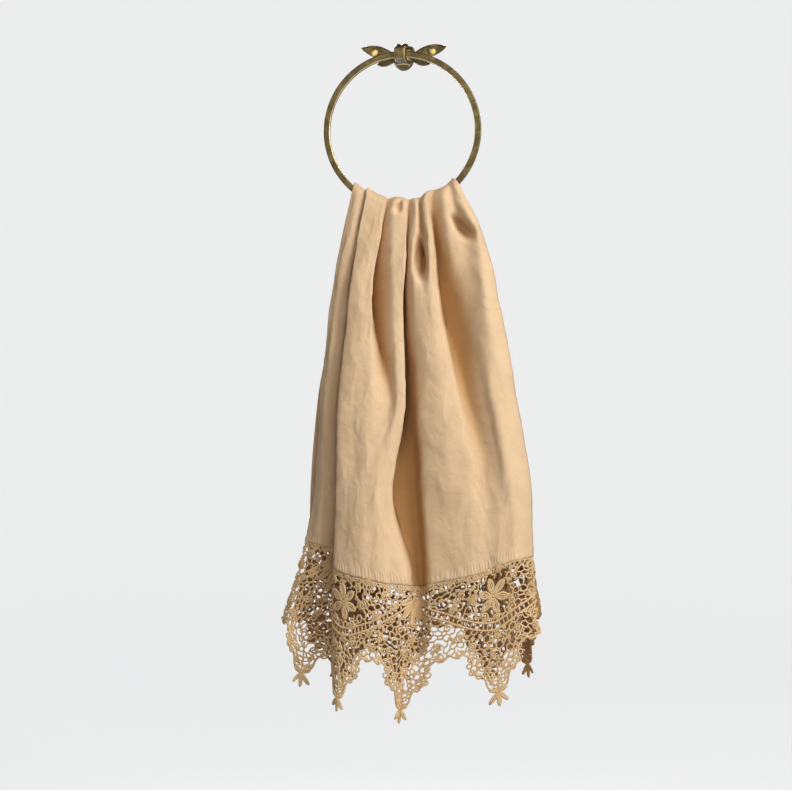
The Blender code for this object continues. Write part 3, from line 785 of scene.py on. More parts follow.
@dataclass
class LinenPanel:
    """The linen: one hemmed sheet from the front hem over the ring to the back hem."""

    drape: Drape
    pitch: float = 1.8
    thick: float = 0.9
    hem_thick: float = 1.5
    hem_deep: float = 6.5
    levels: tuple[float, ...] = (72.0, 110.0, 170.0, 270.0, 360.0, 440.0)
    front_step: float = 2.4
    back_step: float = 5.2
    crest_rows: int = 9
    # How far to look for folds on each side, and the depth at which the painted shade is full.
    fold_reach: float = 42.0
    fold_deep: float = 18.0
    broad: Ripple = Ripple(1.6, 22.0, 34.0, 1.3)
    small: Ripple = Ripple(0.55, 10.0, 12.0, 4.1)
    warp: Ripple = Ripple(8.0, 30.0, 30.0, 9.2)
    ridge: Ripple = Ripple(4.0, 16.0, 24.0, 5.5)
    ridge_high: float = 0.6
    crumpled: float = 0.8
    gathers: Ripple = Ripple(0.15, 7.0, 70.0, 7.7)
    puckers: Ripple = Ripple(0.8, 3.6, 14.0, 2.9)
    pucker_slant: float = 0.45
    stitch_deep: float = 0.45
    side_seam: float = 6.0
    side_deep: float = 0.3

    def rows(self, step: float) -> np.ndarray:
        """Choose the rows from just under the crest down to the hem.

        Args:
            step: about how far apart they are.

        Returns:
            The rows, as Panel.surface takes them.
        """
        count = int((self.levels[-1] - self.levels[0]) / step)
        heights = np.linspace(self.levels[0], self.levels[-1], count)
        hang = np.interp(heights, self.levels, np.arange(1.0, 7.0))
        arch = np.arange(1, self.crest_rows) / self.crest_rows
        return np.concatenate([arch, hang])

    def relief(self, cloth: np.ndarray, reach: np.ndarray, from_hem: np.ndarray) -> np.ndarray:
        """Work out how far crumples, gathers and hems stand out from the smooth folds.

        Args:
            cloth: places across the cloth.
            reach: length along the cloth from the crest, positive on the front.
            from_hem: length along the cloth from the nearer hem.

        Returns:
            Millimetres along the surface's normal.
        """
        away = np.abs(reach)
        warped = self.warp.at(cloth, reach)
        ridge = 1.0 - np.abs(self.ridge.at(cloth + warped, reach - warped))
        crumple = self.broad.at(cloth, reach) + self.small.at(cloth, reach)
        crumple = (crumple + self.ridge_high * np.clip(ridge, 0.0, 1.0) ** 2) * self.crumpled
        gathers = self.gathers.at(cloth, reach) * fade(away, 10, 90)
        slanted = cloth + self.pucker_slant * from_hem
        puckers = self.puckers.at(slanted, from_hem) * fade(from_hem, 4, 24)
        stitched = self.stitch_deep * np.exp(-(((from_hem - self.hem_deep) / 1.3) ** 2))
        side = np.minimum(cloth, self.drape.width - cloth)
        rolled = self.side_deep * np.exp(-(((side - self.side_seam) / 1.2) ** 2))
        return crumple * np.minimum(1.0, away / 40) + gathers + puckers - stitched - rolled

    def painted_valley_shade(self, outward: np.ndarray) -> np.ndarray:
        """Work out how deep each place lies between the folds on both its sides, for painted shade.

        Args:
            outward: how far each place stands out, with the columns across the cloth.

        Returns:
            Numbers from 0 to 1.
        """
        left, right = outward.copy(), outward.copy()
        for shift in range(1, int(self.fold_reach / self.pitch)):
            left[:, shift:] = np.maximum(left[:, shift:], outward[:, :-shift])
            right[:, :-shift] = np.maximum(right[:, :-shift], outward[:, shift:])
        return np.clip((np.minimum(left, right) - outward) / self.fold_deep, 0.0, 1.0)

    def lay(self, cloth: np.ndarray) -> tuple[np.ndarray, int]:
        """Hang the middle of the sheet's thickness, with its hollows.

        Args:
            cloth: places across the flat cloth.

        Returns:
            Points from the front hem to the back hem, and the crest's row.
        """
        front = self.drape.front()
        front_rows = self.rows(self.front_step)[::-1]
        crest = len(front_rows)
        middle = np.concatenate([
            front.surface(cloth, front_rows),
            front.surface(cloth, np.array([0.0])),
            self.drape.back(front).surface(cloth, self.rows(self.back_step)),
        ])
        hung = middle[: crest + 1]
        spread = np.broadcast_to(cloth, hung.shape[:2])
        for dent in DENTS:
            hung[..., 1] += dent.deepen(spread, *front.sight.seen(hung))
        return middle, crest

    def build(self, finish: bpy.types.Material) -> bpy.types.Object:
        """Make the sheet with its two faces and its rim.

        Args:
            finish: the linen's material.

        Returns:
            The piece.
        """
        cloth = np.linspace(0.0, self.drape.width, int(self.drape.width / self.pitch) + 1)
        middle, crest = self.lay(cloth)
        spread = np.broadcast_to(cloth, middle.shape[:2])
        steps = np.linalg.norm(np.diff(middle, axis=0), axis=2)
        length = np.concatenate([np.zeros((1, len(cloth))), np.cumsum(steps, axis=0)])
        reach = length[crest] - length
        from_hem = np.minimum(length, length[-1] - length)
        normal = unit(np.cross(np.gradient(middle, axis=1), np.gradient(middle, axis=0)))
        out = self.relief(spread, reach, from_hem)
        hem = fade(from_hem, self.hem_deep - 1.5, self.hem_deep + 0.5)
        half = (self.thick + (self.hem_thick - self.thick) * hem) / 2
        sides = [middle + normal * (out + side * half)[..., None] for side in (1, -1)]
        number = np.arange(reach.size).reshape(reach.shape)
        skin = quads(*reach.shape)
        edges = [number[0, :-1], number[:-1, -1], number[-1, :0:-1], number[:0:-1, 0]]
        loop = np.concatenate(edges)
        after = np.roll(loop, -1)
        rim = np.stack([after, loop, loop + reach.size, after + reach.size], axis=1)
        faces = np.concatenate([skin, skin[:, ::-1] + reach.size, rim])
        points = np.concatenate(sides).reshape(-1, 3)
        piece = new_object("linen_cloth", points, faces.tolist(), finish)
        flat = np.stack([spread, reach], axis=-1).reshape(-1, 2) * MM
        set_corners(piece, "cloth", np.tile(flat, (2, 1))[faces.ravel()])
        # Painted shade: the "fold" attribute darkens the cloth in the valleys between folds.
        on_front = np.arange(len(middle))[:, None] <= crest
        fold = self.painted_valley_shade(np.where(on_front, -middle[..., 1], middle[..., 1]))
        set_points(piece, "fold", np.tile(fold.ravel(), 2))
        whiskers = fade(from_hem, 5.0, 13.0) * (1 - 0.6 * fade(from_hem, 2.5, 5.0))
        set_points(piece, "hem", np.tile(whiskers.ravel(), 2))
        return piece


# ---------------------------------------------------------------- lace

Path = Sequence[tuple[float, float]]


@dataclass(frozen=True)
class Strand:
    """One cord of the lace on the flat strip."""

    path: Path
    thick: float
    closed: bool = False
    lift: float = 0.0


def inside(points: np.ndarray, outline: np.ndarray) -> np.ndarray:
    """Tell which flat points are within a closed outline.

    Args:
        points: the points.
        outline: its corners.

    Returns:
        True for each point within it.
    """
    x, y = points[:, None, 0], points[:, None, 1]
    x0, y0 = outline[:, 0], outline[:, 1]
    x1, y1 = np.roll(x0, -1), np.roll(y0, -1)
    rise = np.where(y1 == y0, 1.0, y1 - y0)
    crossed = ((y0 > y) != (y1 > y)) & (x < (x1 - x0) * (y - y0) / rise + x0)
    return crossed.sum(axis=1) % 2 == 1


def rounded(path: np.ndarray, closed: bool, step: float) -> np.ndarray:
    """Draw a smooth line through a path's points.

    Args:
        path: the points.
        closed: whether the last joins the first.
        step: about how far apart the line's points are.

    Returns:
        The line's points.
    """
    if closed:
        padded = np.concatenate([path[-1:], path, path[:2]])
    else:
        padded = np.concatenate([2 * path[:1] - path[1:2], path, 2 * path[-1:] - path[-2:-1]])
    found = []
    for i in range(len(padded) - 3):
        a, b, c, d = padded[i : i + 4]
        parts = max(1, int(math.dist(b, c) / step + 0.5))
        t = np.arange(parts)[:, None] / parts
        bend, twist = 2 * a - 5 * b + 4 * c - d, 3 * b - a - 3 * c + d
        found.append(0.5 * (2 * b + (c - a) * t + bend * t**2 + twist * t**3))
    if not closed:
        found.append(path[-1:])
    return np.concatenate(found)


@dataclass
class LacePattern:
    """The lace laid flat: flowers, leaf fans, swags, a net of brides and pointed scallops.

    Loops, leaves and bows of a point are given from the middle of that point.
    """

    seed: int
    width: float = 360.0
    repeat: float = 90.0
    first: float = 45.0
    swag_low: float = 57.0
    swag_high: float = 8.0
    swag_half: float = 3.7
    swag_reach: float = 1.05
    bar_pitch: float = 4.4
    flower_down: float = 27.0
    flower_reach: float = 18.6
    petals: int = 6
    petal: tuple[float, float, float] = (2.8, 14.6, 3.3)
    fan_down: float = 12.0
    fan_half: float = 2.8
    fan: Sequence[tuple[float, tuple[float, float, float]]] = (
        (90, (4, 23, 2.9)), (54, (5, 20, 2.8)), (126, (5, 20, 2.8)),
        (20, (6, 14, 2.4)), (160, (6, 14, 2.4)),
    )  # fmt: skip
    cord: float = 1.9
    fine: float = 1.6
    heavy: float = 2.4
    edge: Path = (
        (4.4, 121.5), (9.0, 116.0), (11.0, 108.5), (14.0, 103.5), (19.5, 101.0), (23.6, 95.0),
        (22.6, 88.0), (26.0, 81.5), (32.0, 77.6), (38.0, 79.6), (45.0, 75.4),
    )  # fmt: skip
    loops: Sequence[tuple[float, float, float]] = (
        (24.6, 84.0, 2.3), (25.2, 90.5, 2.5), (22.6, 97.6, 2.5), (16.4, 103.0, 2.3),
        (15.5, 90.5, 3.4), (36.0, 78.6, 2.0),
    )  # fmt: skip
    prongs: Sequence[tuple[float, float, float]] = ((38, 12.5, 1.0), (112, 8.0, 0.9))
    bows: Path = ((106.5, 10.0), (110.5, 8.6), (114.5, 7.2), (118.5, 5.6))
    side_loops: Sequence[float] = (12.0, 26.0, 41.0, 55.0, 68.0)
    net_pitch: float = 6.3
    net_low: float = 128.0
    uneven: float = 0.4
    missing: float = 0.08
    knotted: float = 0.3
    looped: float = 0.14
    scrolled: float = 0.5
    scroll_gap: float = 15.0
    scroll_low: float = 74.0
    strands: list[Strand] = field(default_factory=list)

    def __post_init__(self) -> None:
        """Seed the unevenness of the handwork."""
        self.chance = random.Random(self.seed)

    def points(self) -> list[tuple[float, Motif]]:
        """The middle of each point and what stands over it."""
        middles = np.arange(self.first, self.width, self.repeat).tolist()
        return [(middle, tuple(Motif)[i % 2]) for i, middle in enumerate(middles)]

    def lay(self, path: Path, thick: float, **more: Any) -> None:
        """Add one cord."""
        self.strands.append(Strand(path, thick, **more))

    def ring(
        self, middle: tuple[float, float], radius: float, thick: float, lift: float = 0.3
    ) -> None:
        """Add a round loop of cord.

        Args:
            middle: its middle on the strip.
            radius: its radius.
            thick: the cord's thickness.
            lift: how far it stands proud.
        """
        count = 7 if radius < 1.5 else 10
        turns = [math.tau * i / count for i in range(count)]
        path = [(middle[0] + radius * math.cos(t), middle[1] + radius * math.sin(t)) for t in turns]
        self.lay(path, thick, closed=True, lift=lift)

    def scroll(self, middle: tuple[float, float], radius: float, turn: float) -> None:
        """Add a cord wound inward as a little snail.

        Args:
            middle: its middle on the strip.
            radius: its radius.
            turn: where it starts, in radians.
        """
        way = 1 if self.chance.random() < 0.5 else -1
        path = []
        for share in np.linspace(0.0, 1.0, 15):
            reach = radius * (1.0 - 0.82 * share)
            angle = turn + way * share * math.tau * 1.6
            path.append((middle[0] + reach * math.cos(angle), middle[1] + reach * math.sin(angle)))
        self.lay(path, self.cord, lift=0.5)

    def leaf(
        self, root: tuple[float, float], turn: float, size: tuple[float, float, float]
    ) -> None:
        """Add a petal or leaf of close-worked cord.

        Args:
            root: the middle that it grows from.
            turn: its direction on the strip, in radians.
            size: its distance from the root, length and half width.
        """
        start, length, half = size
        x, y = math.cos(turn), math.sin(turn)

        def at(share: float, across: float) -> tuple[float, float]:
            """A place on the leaf."""
            reach = start + length * share
            return root[0] + x * reach - y * across, root[1] + y * reach + x * across

        shares = (0.0, 0.16, 0.36, 0.6, 0.82, 0.96)
        for scale, thick in ((1.0, self.heavy), (0.38, self.cord)):
            widths = [half * scale * math.sin(math.pi * (0.06 + 0.86 * s) ** 1.15) for s in shares]
            reach = [0.5 + (s - 0.5) * (0.94 + 0.06 * scale) for s in shares]
            one = [at(s, w) for s, w in zip(reach, widths)]
            other = [at(s, -w) for s, w in zip(reach, widths)]
            path = [at(-0.02, 0.0), *one, at(1.02, 0.0), *other[::-1]]
            self.lay(path, thick, closed=True, lift=0.5)

    def swag_down(self, along: Any, middle: float) -> Any:
        """How far down a swag runs, hung under the flower at middle."""
        share = abs(along - middle) / self.repeat
        return self.swag_low - (self.swag_low - self.swag_high) * share**1.5

    def add_swag(self, middle: float) -> None:
        """Add the double cord of one swag, with its bars and knots.

        Args:
            middle: where it hangs lowest.
        """
        reach, half = self.repeat * self.swag_reach, self.swag_half
        low, high = max(middle - reach, 0.5), min(middle + reach, self.width - 0.5)
        places = np.linspace(low, high, int((high - low) / 6) + 1)
        for offset in (-half, half):
            line = [(float(s), max(self.swag_down(s, middle) + offset, 2.0)) for s in places]
            self.lay(line, self.cord * 1.2, lift=0.5)
        for along in np.arange(low + 3, high - 2, self.bar_pitch):
            down = self.swag_down(along, middle)
            if down - half < 3:
                continue
            lean = (self.swag_down(along + 1, middle) - down) * 0.5 * half
            bar = [(along + lean, down - half), (along, down), (along - lean, down + half)]
            self.lay(bar, self.fine, lift=0.1)
            self.ring((along, down), 0.55, 1.3)

    def add_motif(self, middle: float, motif: Motif) -> None:
        """Add a flower or a leaf fan over a point.

        Args:
            middle: the point's middle.
            motif: which of the two.
        """
        if motif is Motif.FLOWER:
            heart = (middle, self.flower_down)
            self.ring(heart, 2.5, self.cord, lift=0.7)
            self.ring(heart, 0.8, self.cord, lift=0.8)
            for i in range(self.petals):
                self.leaf(heart, math.tau * (i + 0.3) / self.petals, self.petal)
            return
        root = (middle, self.fan_down)
        for degrees, size in self.fan:
            self.leaf(root, math.radians(degrees), size)
        self.ring(root, 2.2, self.cord, lift=0.6)

    def add_point(self, middle: float) -> None:
        """Add one point: looped flanks, a laddered stem and a tip of prongs.

        Args:
            middle: the point's middle.
        """
        for side in (1, -1):
            self.lay([(middle + side * x, y) for x, y in self.edge], self.heavy, lift=0.3)
            inner = [(middle + side * (x * 0.86 - 1.2), y - 3.6) for x, y in self.edge[1:]]
            self.lay(inner, self.cord, lift=0.1)
            for x, y, radius in self.loops:
                self.ring((middle + side * x, y), radius, self.cord)
            self.ring((middle + side * 9.2, 98.5), 2.6, self.fine * 1.2)
            for degrees, length, half in self.prongs:
                turn = math.radians(90 - side * degrees)
                self.leaf((middle, 122.5), turn, (0.4, length, half))
        self.leaf((middle, 122.0), math.pi / 2, (0.0, 14.0, 1.2))
        self.ring((middle, 86.0), 4.2, self.cord)
        self.lay([(middle, 92.0), (middle + 0.5, 108.0), (middle, 123.0)], self.cord, lift=0.2)
        for down, half in self.bows:
            bow = [(middle - half, down - 1.5), (middle, down + 1.0), (middle + half, down - 1.5)]
            self.lay(bow, self.fine)

    def outline(self) -> np.ndarray:
        """Draw the strip's outline, without the tips.

        Returns:
            Its corners.
        """
        path: list[tuple[float, float]] = [(0.0, 0.0), (self.width, 0.0)]
        for middle, _ in reversed(self.points()):
            path += [(middle + x, y) for x, y in reversed(self.edge)]
            path += [(middle - x, y) for x, y in self.edge]
        return np.array(path)

    def taken(self, place: np.ndarray) -> np.ndarray:
        """Tell where a flower, leaf or swag already fills the ground.

        Args:
            place: flat places.

        Returns:
            True for each place that is taken.
        """
        along, down = place.T
        found = np.zeros(len(place), bool)
        for middle, motif in self.points():
            if motif is Motif.FLOWER:
                found |= np.hypot(along - middle, down - self.flower_down) < self.flower_reach
                near = np.abs(along - middle) < self.repeat * self.swag_reach
                found |= near & (np.abs(down - self.swag_down(along, middle)) < self.swag_half)
                continue
            turn = np.arctan2(down - self.fan_down, along - middle)
            away = np.hypot(along - middle, down - self.fan_down)
            for degrees, (start, length, _) in self.fan:
                aside = np.abs(np.sin(turn - math.radians(degrees))) * away
                ahead = np.cos(turn - math.radians(degrees)) * away
                found |= (aside < self.fan_half) & (ahead > 3) & (ahead < start + length - 1)
        return found

    def cells(self) -> tuple[np.ndarray, list[tuple[int, int]]]:
        """Scatter uneven cells over the ground and find where their borders meet.

        Returns:
            The junctions of the borders, and the pairs that one border joins.
        """
        pitch = self.net_pitch
        seeds = []
        down, row = -pitch * 0.6, 0
        while down < self.net_low:
            along = -pitch + (pitch / 2 if row % 2 else 0.0)
            while along < self.width + pitch:
                x, y = (self.chance.uniform(-self.uneven, self.uneven) * pitch for _ in range(2))
                seeds.append(Vector((along + x, down + y)))
                along += pitch
            down += pitch * 0.866
            row += 1
        corners, _, faces, _, _, _ = delaunay_2d_cdt(seeds, [], [], 0, 1e-6)
        junctions = np.array([np.mean([corners[i] for i in face], axis=0) for face in faces])
        shared: dict[tuple[int, ...], int] = {}
        pairs = []
        for number, face in enumerate(faces):
            for i in range(3):
                edge = tuple(sorted((face[i], face[(i + 1) % 3])))
                other = shared.setdefault(edge, number)
                if other != number:
                    pairs.append((other, number))
        return junctions, pairs

    def add_net(self) -> None:
        """Fill the ground with brides, some with knots, and with loops and scrolls."""
        outline = self.outline()
        junctions, pairs = self.cells()
        within, taken = inside(junctions, outline), self.taken(junctions)
        for one, other in pairs:
            if not (within[one] or within[other]):
                continue
            if (taken[one] and taken[other]) or self.chance.random() < self.missing:
                continue
            self.add_bride(junctions[one], junctions[other], outline)
        scrolls: list[np.ndarray] = []
        for middle in junctions[within & ~taken]:
            clear = all(np.hypot(*(middle - other)) > self.scroll_gap for other in scrolls)
            if clear and middle[1] < self.scroll_low and self.chance.random() < self.scrolled:
                scrolls.append(middle)
                radius = self.chance.uniform(3.6, 5.0)
                self.scroll(tuple(middle), radius, self.chance.uniform(0, math.tau))
            elif self.chance.random() < self.looped:
                self.ring(tuple(middle), 1.6, self.fine)

    def add_bride(self, start: np.ndarray, end: np.ndarray, outline: np.ndarray) -> None:
        """Add one bride, cut off at the outline and a little bowed.

        Args:
            start: the junction where it starts.
            end: the junction where it ends.
            outline: the strip's outline.
        """
        samples = start + (end - start) * np.linspace(0.0, 1.0, 9)[:, None]
        samples = samples[inside(samples, outline)]
        if len(samples) < 4:
            return
        start, end = samples[0], samples[-1]
        side = np.array((start[1] - end[1], end[0] - start[0]))
        middle = (start + end) / 2 + side * self.chance.uniform(-0.18, 0.18)
        if self.taken(middle[None])[0]:
            return
        thick = self.fine * self.chance.uniform(0.95, 1.25)
        self.lay([tuple(start), tuple(middle), tuple(end)], thick)
        if self.chance.random() < self.knotted:
            self.ring(tuple(middle), 0.55, 1.15, lift=0.2)

    def add_heading(self) -> None:
        """Add the cords that are sewn under the hem, and the cords down both ends."""
        self.lay([(s, 0.9) for s in np.linspace(0.6, self.width - 0.6, 73)], self.fine, lift=0.1)
        arches: list[tuple[float, float]] = []
        for along in np.arange(0.8, self.width - 4.2, 4.6):
            arches += [(along, 1.2), (along + 1.3, 4.2), (along + 3.3, 4.2)]
        self.lay(arches, self.fine, lift=0.2)
        for start, side in ((0.9, 1), (self.width - 0.9, -1)):
            downs = np.arange(1.0, 77.0, 2.5)
            ends = [(start + side * (1.1 + 1.1 * math.sin(d / 1.9)), float(d)) for d in downs]
            self.lay(ends, self.cord, lift=0.1)
            for down in self.side_loops:
                middle = (start + side * 3.0, down + self.chance.uniform(-3, 3))
                self.ring(middle, 2.2, self.fine)

    def make(self) -> list[Strand]:
        """Lay every cord of the strip.

        Returns:
            The cords, on the flat strip.
        """
        self.add_net()
        self.add_heading()
        for middle, motif in self.points():
            self.add_motif(middle, motif)
            self.add_point(middle)
            if motif is Motif.FLOWER:
                self.add_swag(middle)
        self.add_swag(self.first - self.repeat)
        return self.strands


@dataclass
class LaceStrip:
    """A strip of lace hung from a hem: the flat cords, swept round and bent onto the panel."""

    name: str
    panel: Panel
    pattern: LacePattern
    facing: float
    sides: int = 5
    step: float = 1.7
    deepest: float = 144.0
    sway: Ripple = Ripple(1.4, 24.0, 34.0, 3.3)
    grid: tuple[float, float] = (1.0, 2.0)

    def __post_init__(self) -> None:
        """Work out the surface and its level normals once, on a fine grid."""
        across = np.arange(0.0, self.pattern.width + 0.5, self.grid[0])
        downs = np.arange(0.0, self.deepest + 1, self.grid[1])
        self.points = self.panel.surface(across, 6.0 + downs / self.panel.lace_depth)
        along = np.gradient(self.points, axis=1)
        level = np.stack([along[..., 1], -along[..., 0], along[..., 0] * 0], axis=-1)
        self.normals = unit(level)

    def hang(self, flat: np.ndarray, lift: float) -> tuple[np.ndarray, np.ndarray]:
        """Carry flat places onto the hanging surface.

        Args:
            flat: (along, down) places.
            lift: how far they stand proud of the strip's middle.

        Returns:
            The points, and the surface's level normals there.
        """
        along, down = flat.T
        x = np.clip(along, 0.0, self.pattern.width) / self.grid[0]
        y = np.clip(down, 0.0, self.deepest) / self.grid[1]
        i = np.minimum(x.astype(int), self.points.shape[1] - 2)
        j = np.minimum(y.astype(int), self.points.shape[0] - 2)
        u, v = (x - i)[:, None], (y - j)[:, None]
        found = []
        for table in (self.points, self.normals):
            near = table[j, i] * (1 - u) + table[j, i + 1] * u
            far = table[j + 1, i] * (1 - u) + table[j + 1, i + 1] * u
            found.append(near * (1 - v) + far * v)
        place, normal = found[0], unit(found[1])
        sway = self.sway.at(along, down) * np.clip(down / 70, 0, 1.3)
        return place + normal * (lift + sway)[:, None], normal

    def sweep(self, strand: Strand) -> tuple[np.ndarray, np.ndarray, np.ndarray, np.ndarray]:
        """Sweep one cord.

        Args:
            strand: the cord on the flat strip.

        Returns:
            Its vertices, its faces, the UV places of their corners, and how far each vertex
            is turned to the inside of the towel.
        """
        flat = rounded(np.asarray(strand.path, float), strand.closed, self.step)
        centre, normal = self.hang(flat, self.facing * strand.lift)
        if strand.closed:
            ahead = np.roll(centre, -1, axis=0) - np.roll(centre, 1, axis=0)
        else:
            ahead = np.gradient(centre, axis=0)
        side = unit(np.cross(unit(ahead), normal))
        out = unit(np.cross(side, unit(ahead)))
        turns = (math.tau * np.arange(self.sides) / self.sides)[None, :, None]
        ring = np.cos(turns) * side[:, None] + np.sin(turns) * out[:, None]
        points = centre[:, None] + ring * strand.thick / 2
        faces = quads(len(flat), self.sides, strand.closed, True)
        i, j = np.divmod(np.arange(len(faces)), self.sides)
        steps = np.linalg.norm(np.diff(centre, axis=0), axis=1)
        reach = np.concatenate([[0.0], np.cumsum(steps)])
        reach = np.append(reach, reach[-1] + self.step)
        flat_u = reach[np.stack([i, i, i + 1, i + 1], axis=-1)] * MM
        flat_v = np.stack([j, j + 1, j + 1, j], axis=-1) / self.sides
        corners = np.stack([flat_u, flat_v], axis=-1).reshape(-1, 2)
        # How far each vertex faces the inside of the towel: the mask of the painted shade.
        inner = 0.5 - 0.5 * self.facing * (ring * normal[:, None]).sum(axis=-1)
        return points.reshape(-1, 3), faces, corners, inner.ravel()

    def build(self, finish: bpy.types.Material) -> bpy.types.Object:
        """Make the strip as one mesh.

        Args:
            finish: the cord's material.

        Returns:
            The piece.
        """
        swept = [self.sweep(strand) for strand in self.pattern.make()]
        points, faces, corners, inner = zip(*swept)
        starts = np.cumsum([0] + [len(part) for part in points[:-1]])
        joined = np.concatenate([part + start for part, start in zip(faces, starts)])
        piece = new_object(self.name, np.concatenate(points), joined.tolist(), finish)
        set_corners(piece, "cord", np.concatenate(corners))
        # The "inner" attribute carries the painted shade on the cords' inward sides.
        set_points(piece, "inner", np.concatenate(inner))
        return piece


# ---------------------------------------------------------------- ring and bracket


@dataclass
class TowelRing:
    """The flat brass bar bent to a circle, with chamfered edges rubbed bright."""

    outer: float = 79.2
    width: float = 6.4
    depth: float = 5.0
    chamfer: float = 0.8
    worn_inside: float = 1.0
    worn_outside: float = 0.6
    steps: int = 180
    sight: Sight = Sight()

    def section(self) -> list[tuple[float, float, float]]:
        """Draw the bar's section.

        Returns:
            Radius, depth and wear of its corners.
        """
        half_width, half_depth, cut = self.width / 2, self.depth / 2, self.chamfer
        round_off = cut / 2.6
        found = []
        for i, (x, y) in enumerate(((1, -1), (1, 1), (-1, 1), (-1, -1))):
            corner = [
                (half_width - cut - 0.5, half_depth, 0.0), (half_width - cut, half_depth, 0.5),
                (half_width - round_off, half_depth - round_off, 1.0),
                (half_width, half_depth - cut, 0.5), (half_width, half_depth - cut - 0.5, 0.0),
            ]  # fmt: skip
            if i % 2:
                corner.reverse()
            found += [(self.outer - half_width + x * a, y * b, wear) for a, b, wear in corner]
        return found

    def build(self, finish: bpy.types.Material) -> bpy.types.Object:
        """Sweep the section round the ring.

        Args:
            finish: the ring's material.

        Returns:
            The piece.
        """
        radius, depth, worn = np.array(self.section()).T
        turns = (math.tau * np.arange(self.steps) / self.steps)[:, None]
        x, y, z = self.sight.centre
        around = (x + radius * np.cos(turns), y + depth, z + radius * np.sin(turns))
        points = np.stack(np.broadcast_arrays(*around), axis=-1).reshape(-1, 3)
        inside_bar = radius < self.outer - self.width / 2
        wear = worn * np.where(inside_bar, self.worn_inside, self.worn_outside)
        faces = quads(self.steps, len(radius), round_rows=True, round_columns=True)
        piece = new_object("brass_ring", points, faces.tolist(), finish)
        set_points(piece, "wear", np.tile(wear, self.steps))
        return piece


@dataclass
class WallPlate:
    """The cast plate: an oval with two pairs of veined wings."""

    thick: float = 3.0
    oval: tuple[float, float] = (11.0, 13.5)
    upper: tuple[float, ...] = (6.0, 1.5, 43.4, 10.2, 5.9, 0.56)
    lower: tuple[float, ...] = (5.0, -1.5, 27.0, -7.0, 3.8, 0.6)
    vein_deep: float = 0.35
    rim_high: float = 0.3
    steps: int = 30
    strips: int = 12

    def wing(self, leaf: tuple[float, ...], side: int) -> tuple[list, list, list]:
        """Shape one wing: a leaf with a raised rim and veins.

        Args:
            leaf: root, tip, half width and where it is fullest.
            side: 1 for the right, -1 for the left.

        Returns:
            Vertices, faces and wear.
        """
        root, tip = np.array(leaf[0:2]), np.array(leaf[2:4])
        half, fullest = leaf[4], leaf[5]
        along = tip - root
        up = np.array((-along[1], along[0])) / np.linalg.norm(along)
        points, wear = [], []
        for i in range(self.steps + 1):
            share = 0.5 - 0.5 * math.cos(math.pi * i / self.steps)
            bulge = share ** (math.log(0.5) / math.log(fullest))
            width = half * math.sin(math.pi * bulge) ** 0.8 if 0 < i < self.steps else 0.02
            for j in range(self.strips + 1):
                across = 2 * j / self.strips - 1
                rim = math.exp(-(((abs(across) - 0.9) / 0.1) ** 2))
                vein = 0.5 + 0.5 * math.cos(13 * across + 5 * share)
                crown = self.thick * (0.8 + 0.2 * (1 - across * across))
                height = crown - self.vein_deep * vein + self.rim_high * rim
                height = min(height, self.thick) if abs(across) < 0.99 else self.thick * 0.55
                x, z = root + along * share + up * width * across
                points.append((side * x, -height, z))
                wear.append(0.75 * rim + 0.25 * (1 - vein))
        size, count = self.strips + 1, len(points)
        points += [(x, 0.0, z) for x, _, z in points]
        wear += [0.0] * count
        skin = quads(self.steps + 1, size)
        faces = skin.tolist() + (skin[:, ::-1] + count).tolist()
        for a in range(0, count - size, size):
            for b in (a, a + self.strips):
                faces.append([b, b + size, b + size + count, b + count])
        return points, faces, wear

    def build(self, finish: bpy.types.Material) -> bpy.types.Object:
        """Join the oval and the four wings.

        Args:
            finish: the plate's material.

        Returns:
            The piece.
        """
        count = 48
        turns = [math.tau * i / count for i in range(count)]
        rim = [(self.oval[0] * math.cos(t), self.oval[1] * math.sin(t)) for t in turns]
        points = [(x, 0.0, z) for x, z in rim] + [(x, -self.thick, z) for x, z in rim]
        faces = [tuple(range(count)), tuple(range(count, 2 * count))]
        faces += [(i, (i + 1) % count, (i + 1) % count + count, i + count) for i in range(count)]
        wear = [0.0] * count + [0.4] * count
        for leaf in (self.upper, self.lower):
            for side in (1, -1):
                wing_points, wing_faces, wing_wear = self.wing(leaf, side)
                faces += [[n + len(points) for n in face] for face in wing_faces]
                points += wing_points
                wear += wing_wear
        piece = new_object("wing_plate", np.array(points), faces, finish)
        mesh = bmesh.new()
        mesh.from_mesh(piece.data)
        bmesh.ops.recalc_face_normals(mesh, faces=mesh.faces)
        mesh.to_mesh(piece.data)
        mesh.free()
        piece.data.set_sharp_from_angle(angle=math.radians(50))
        set_points(piece, "wear", wear)
        return piece


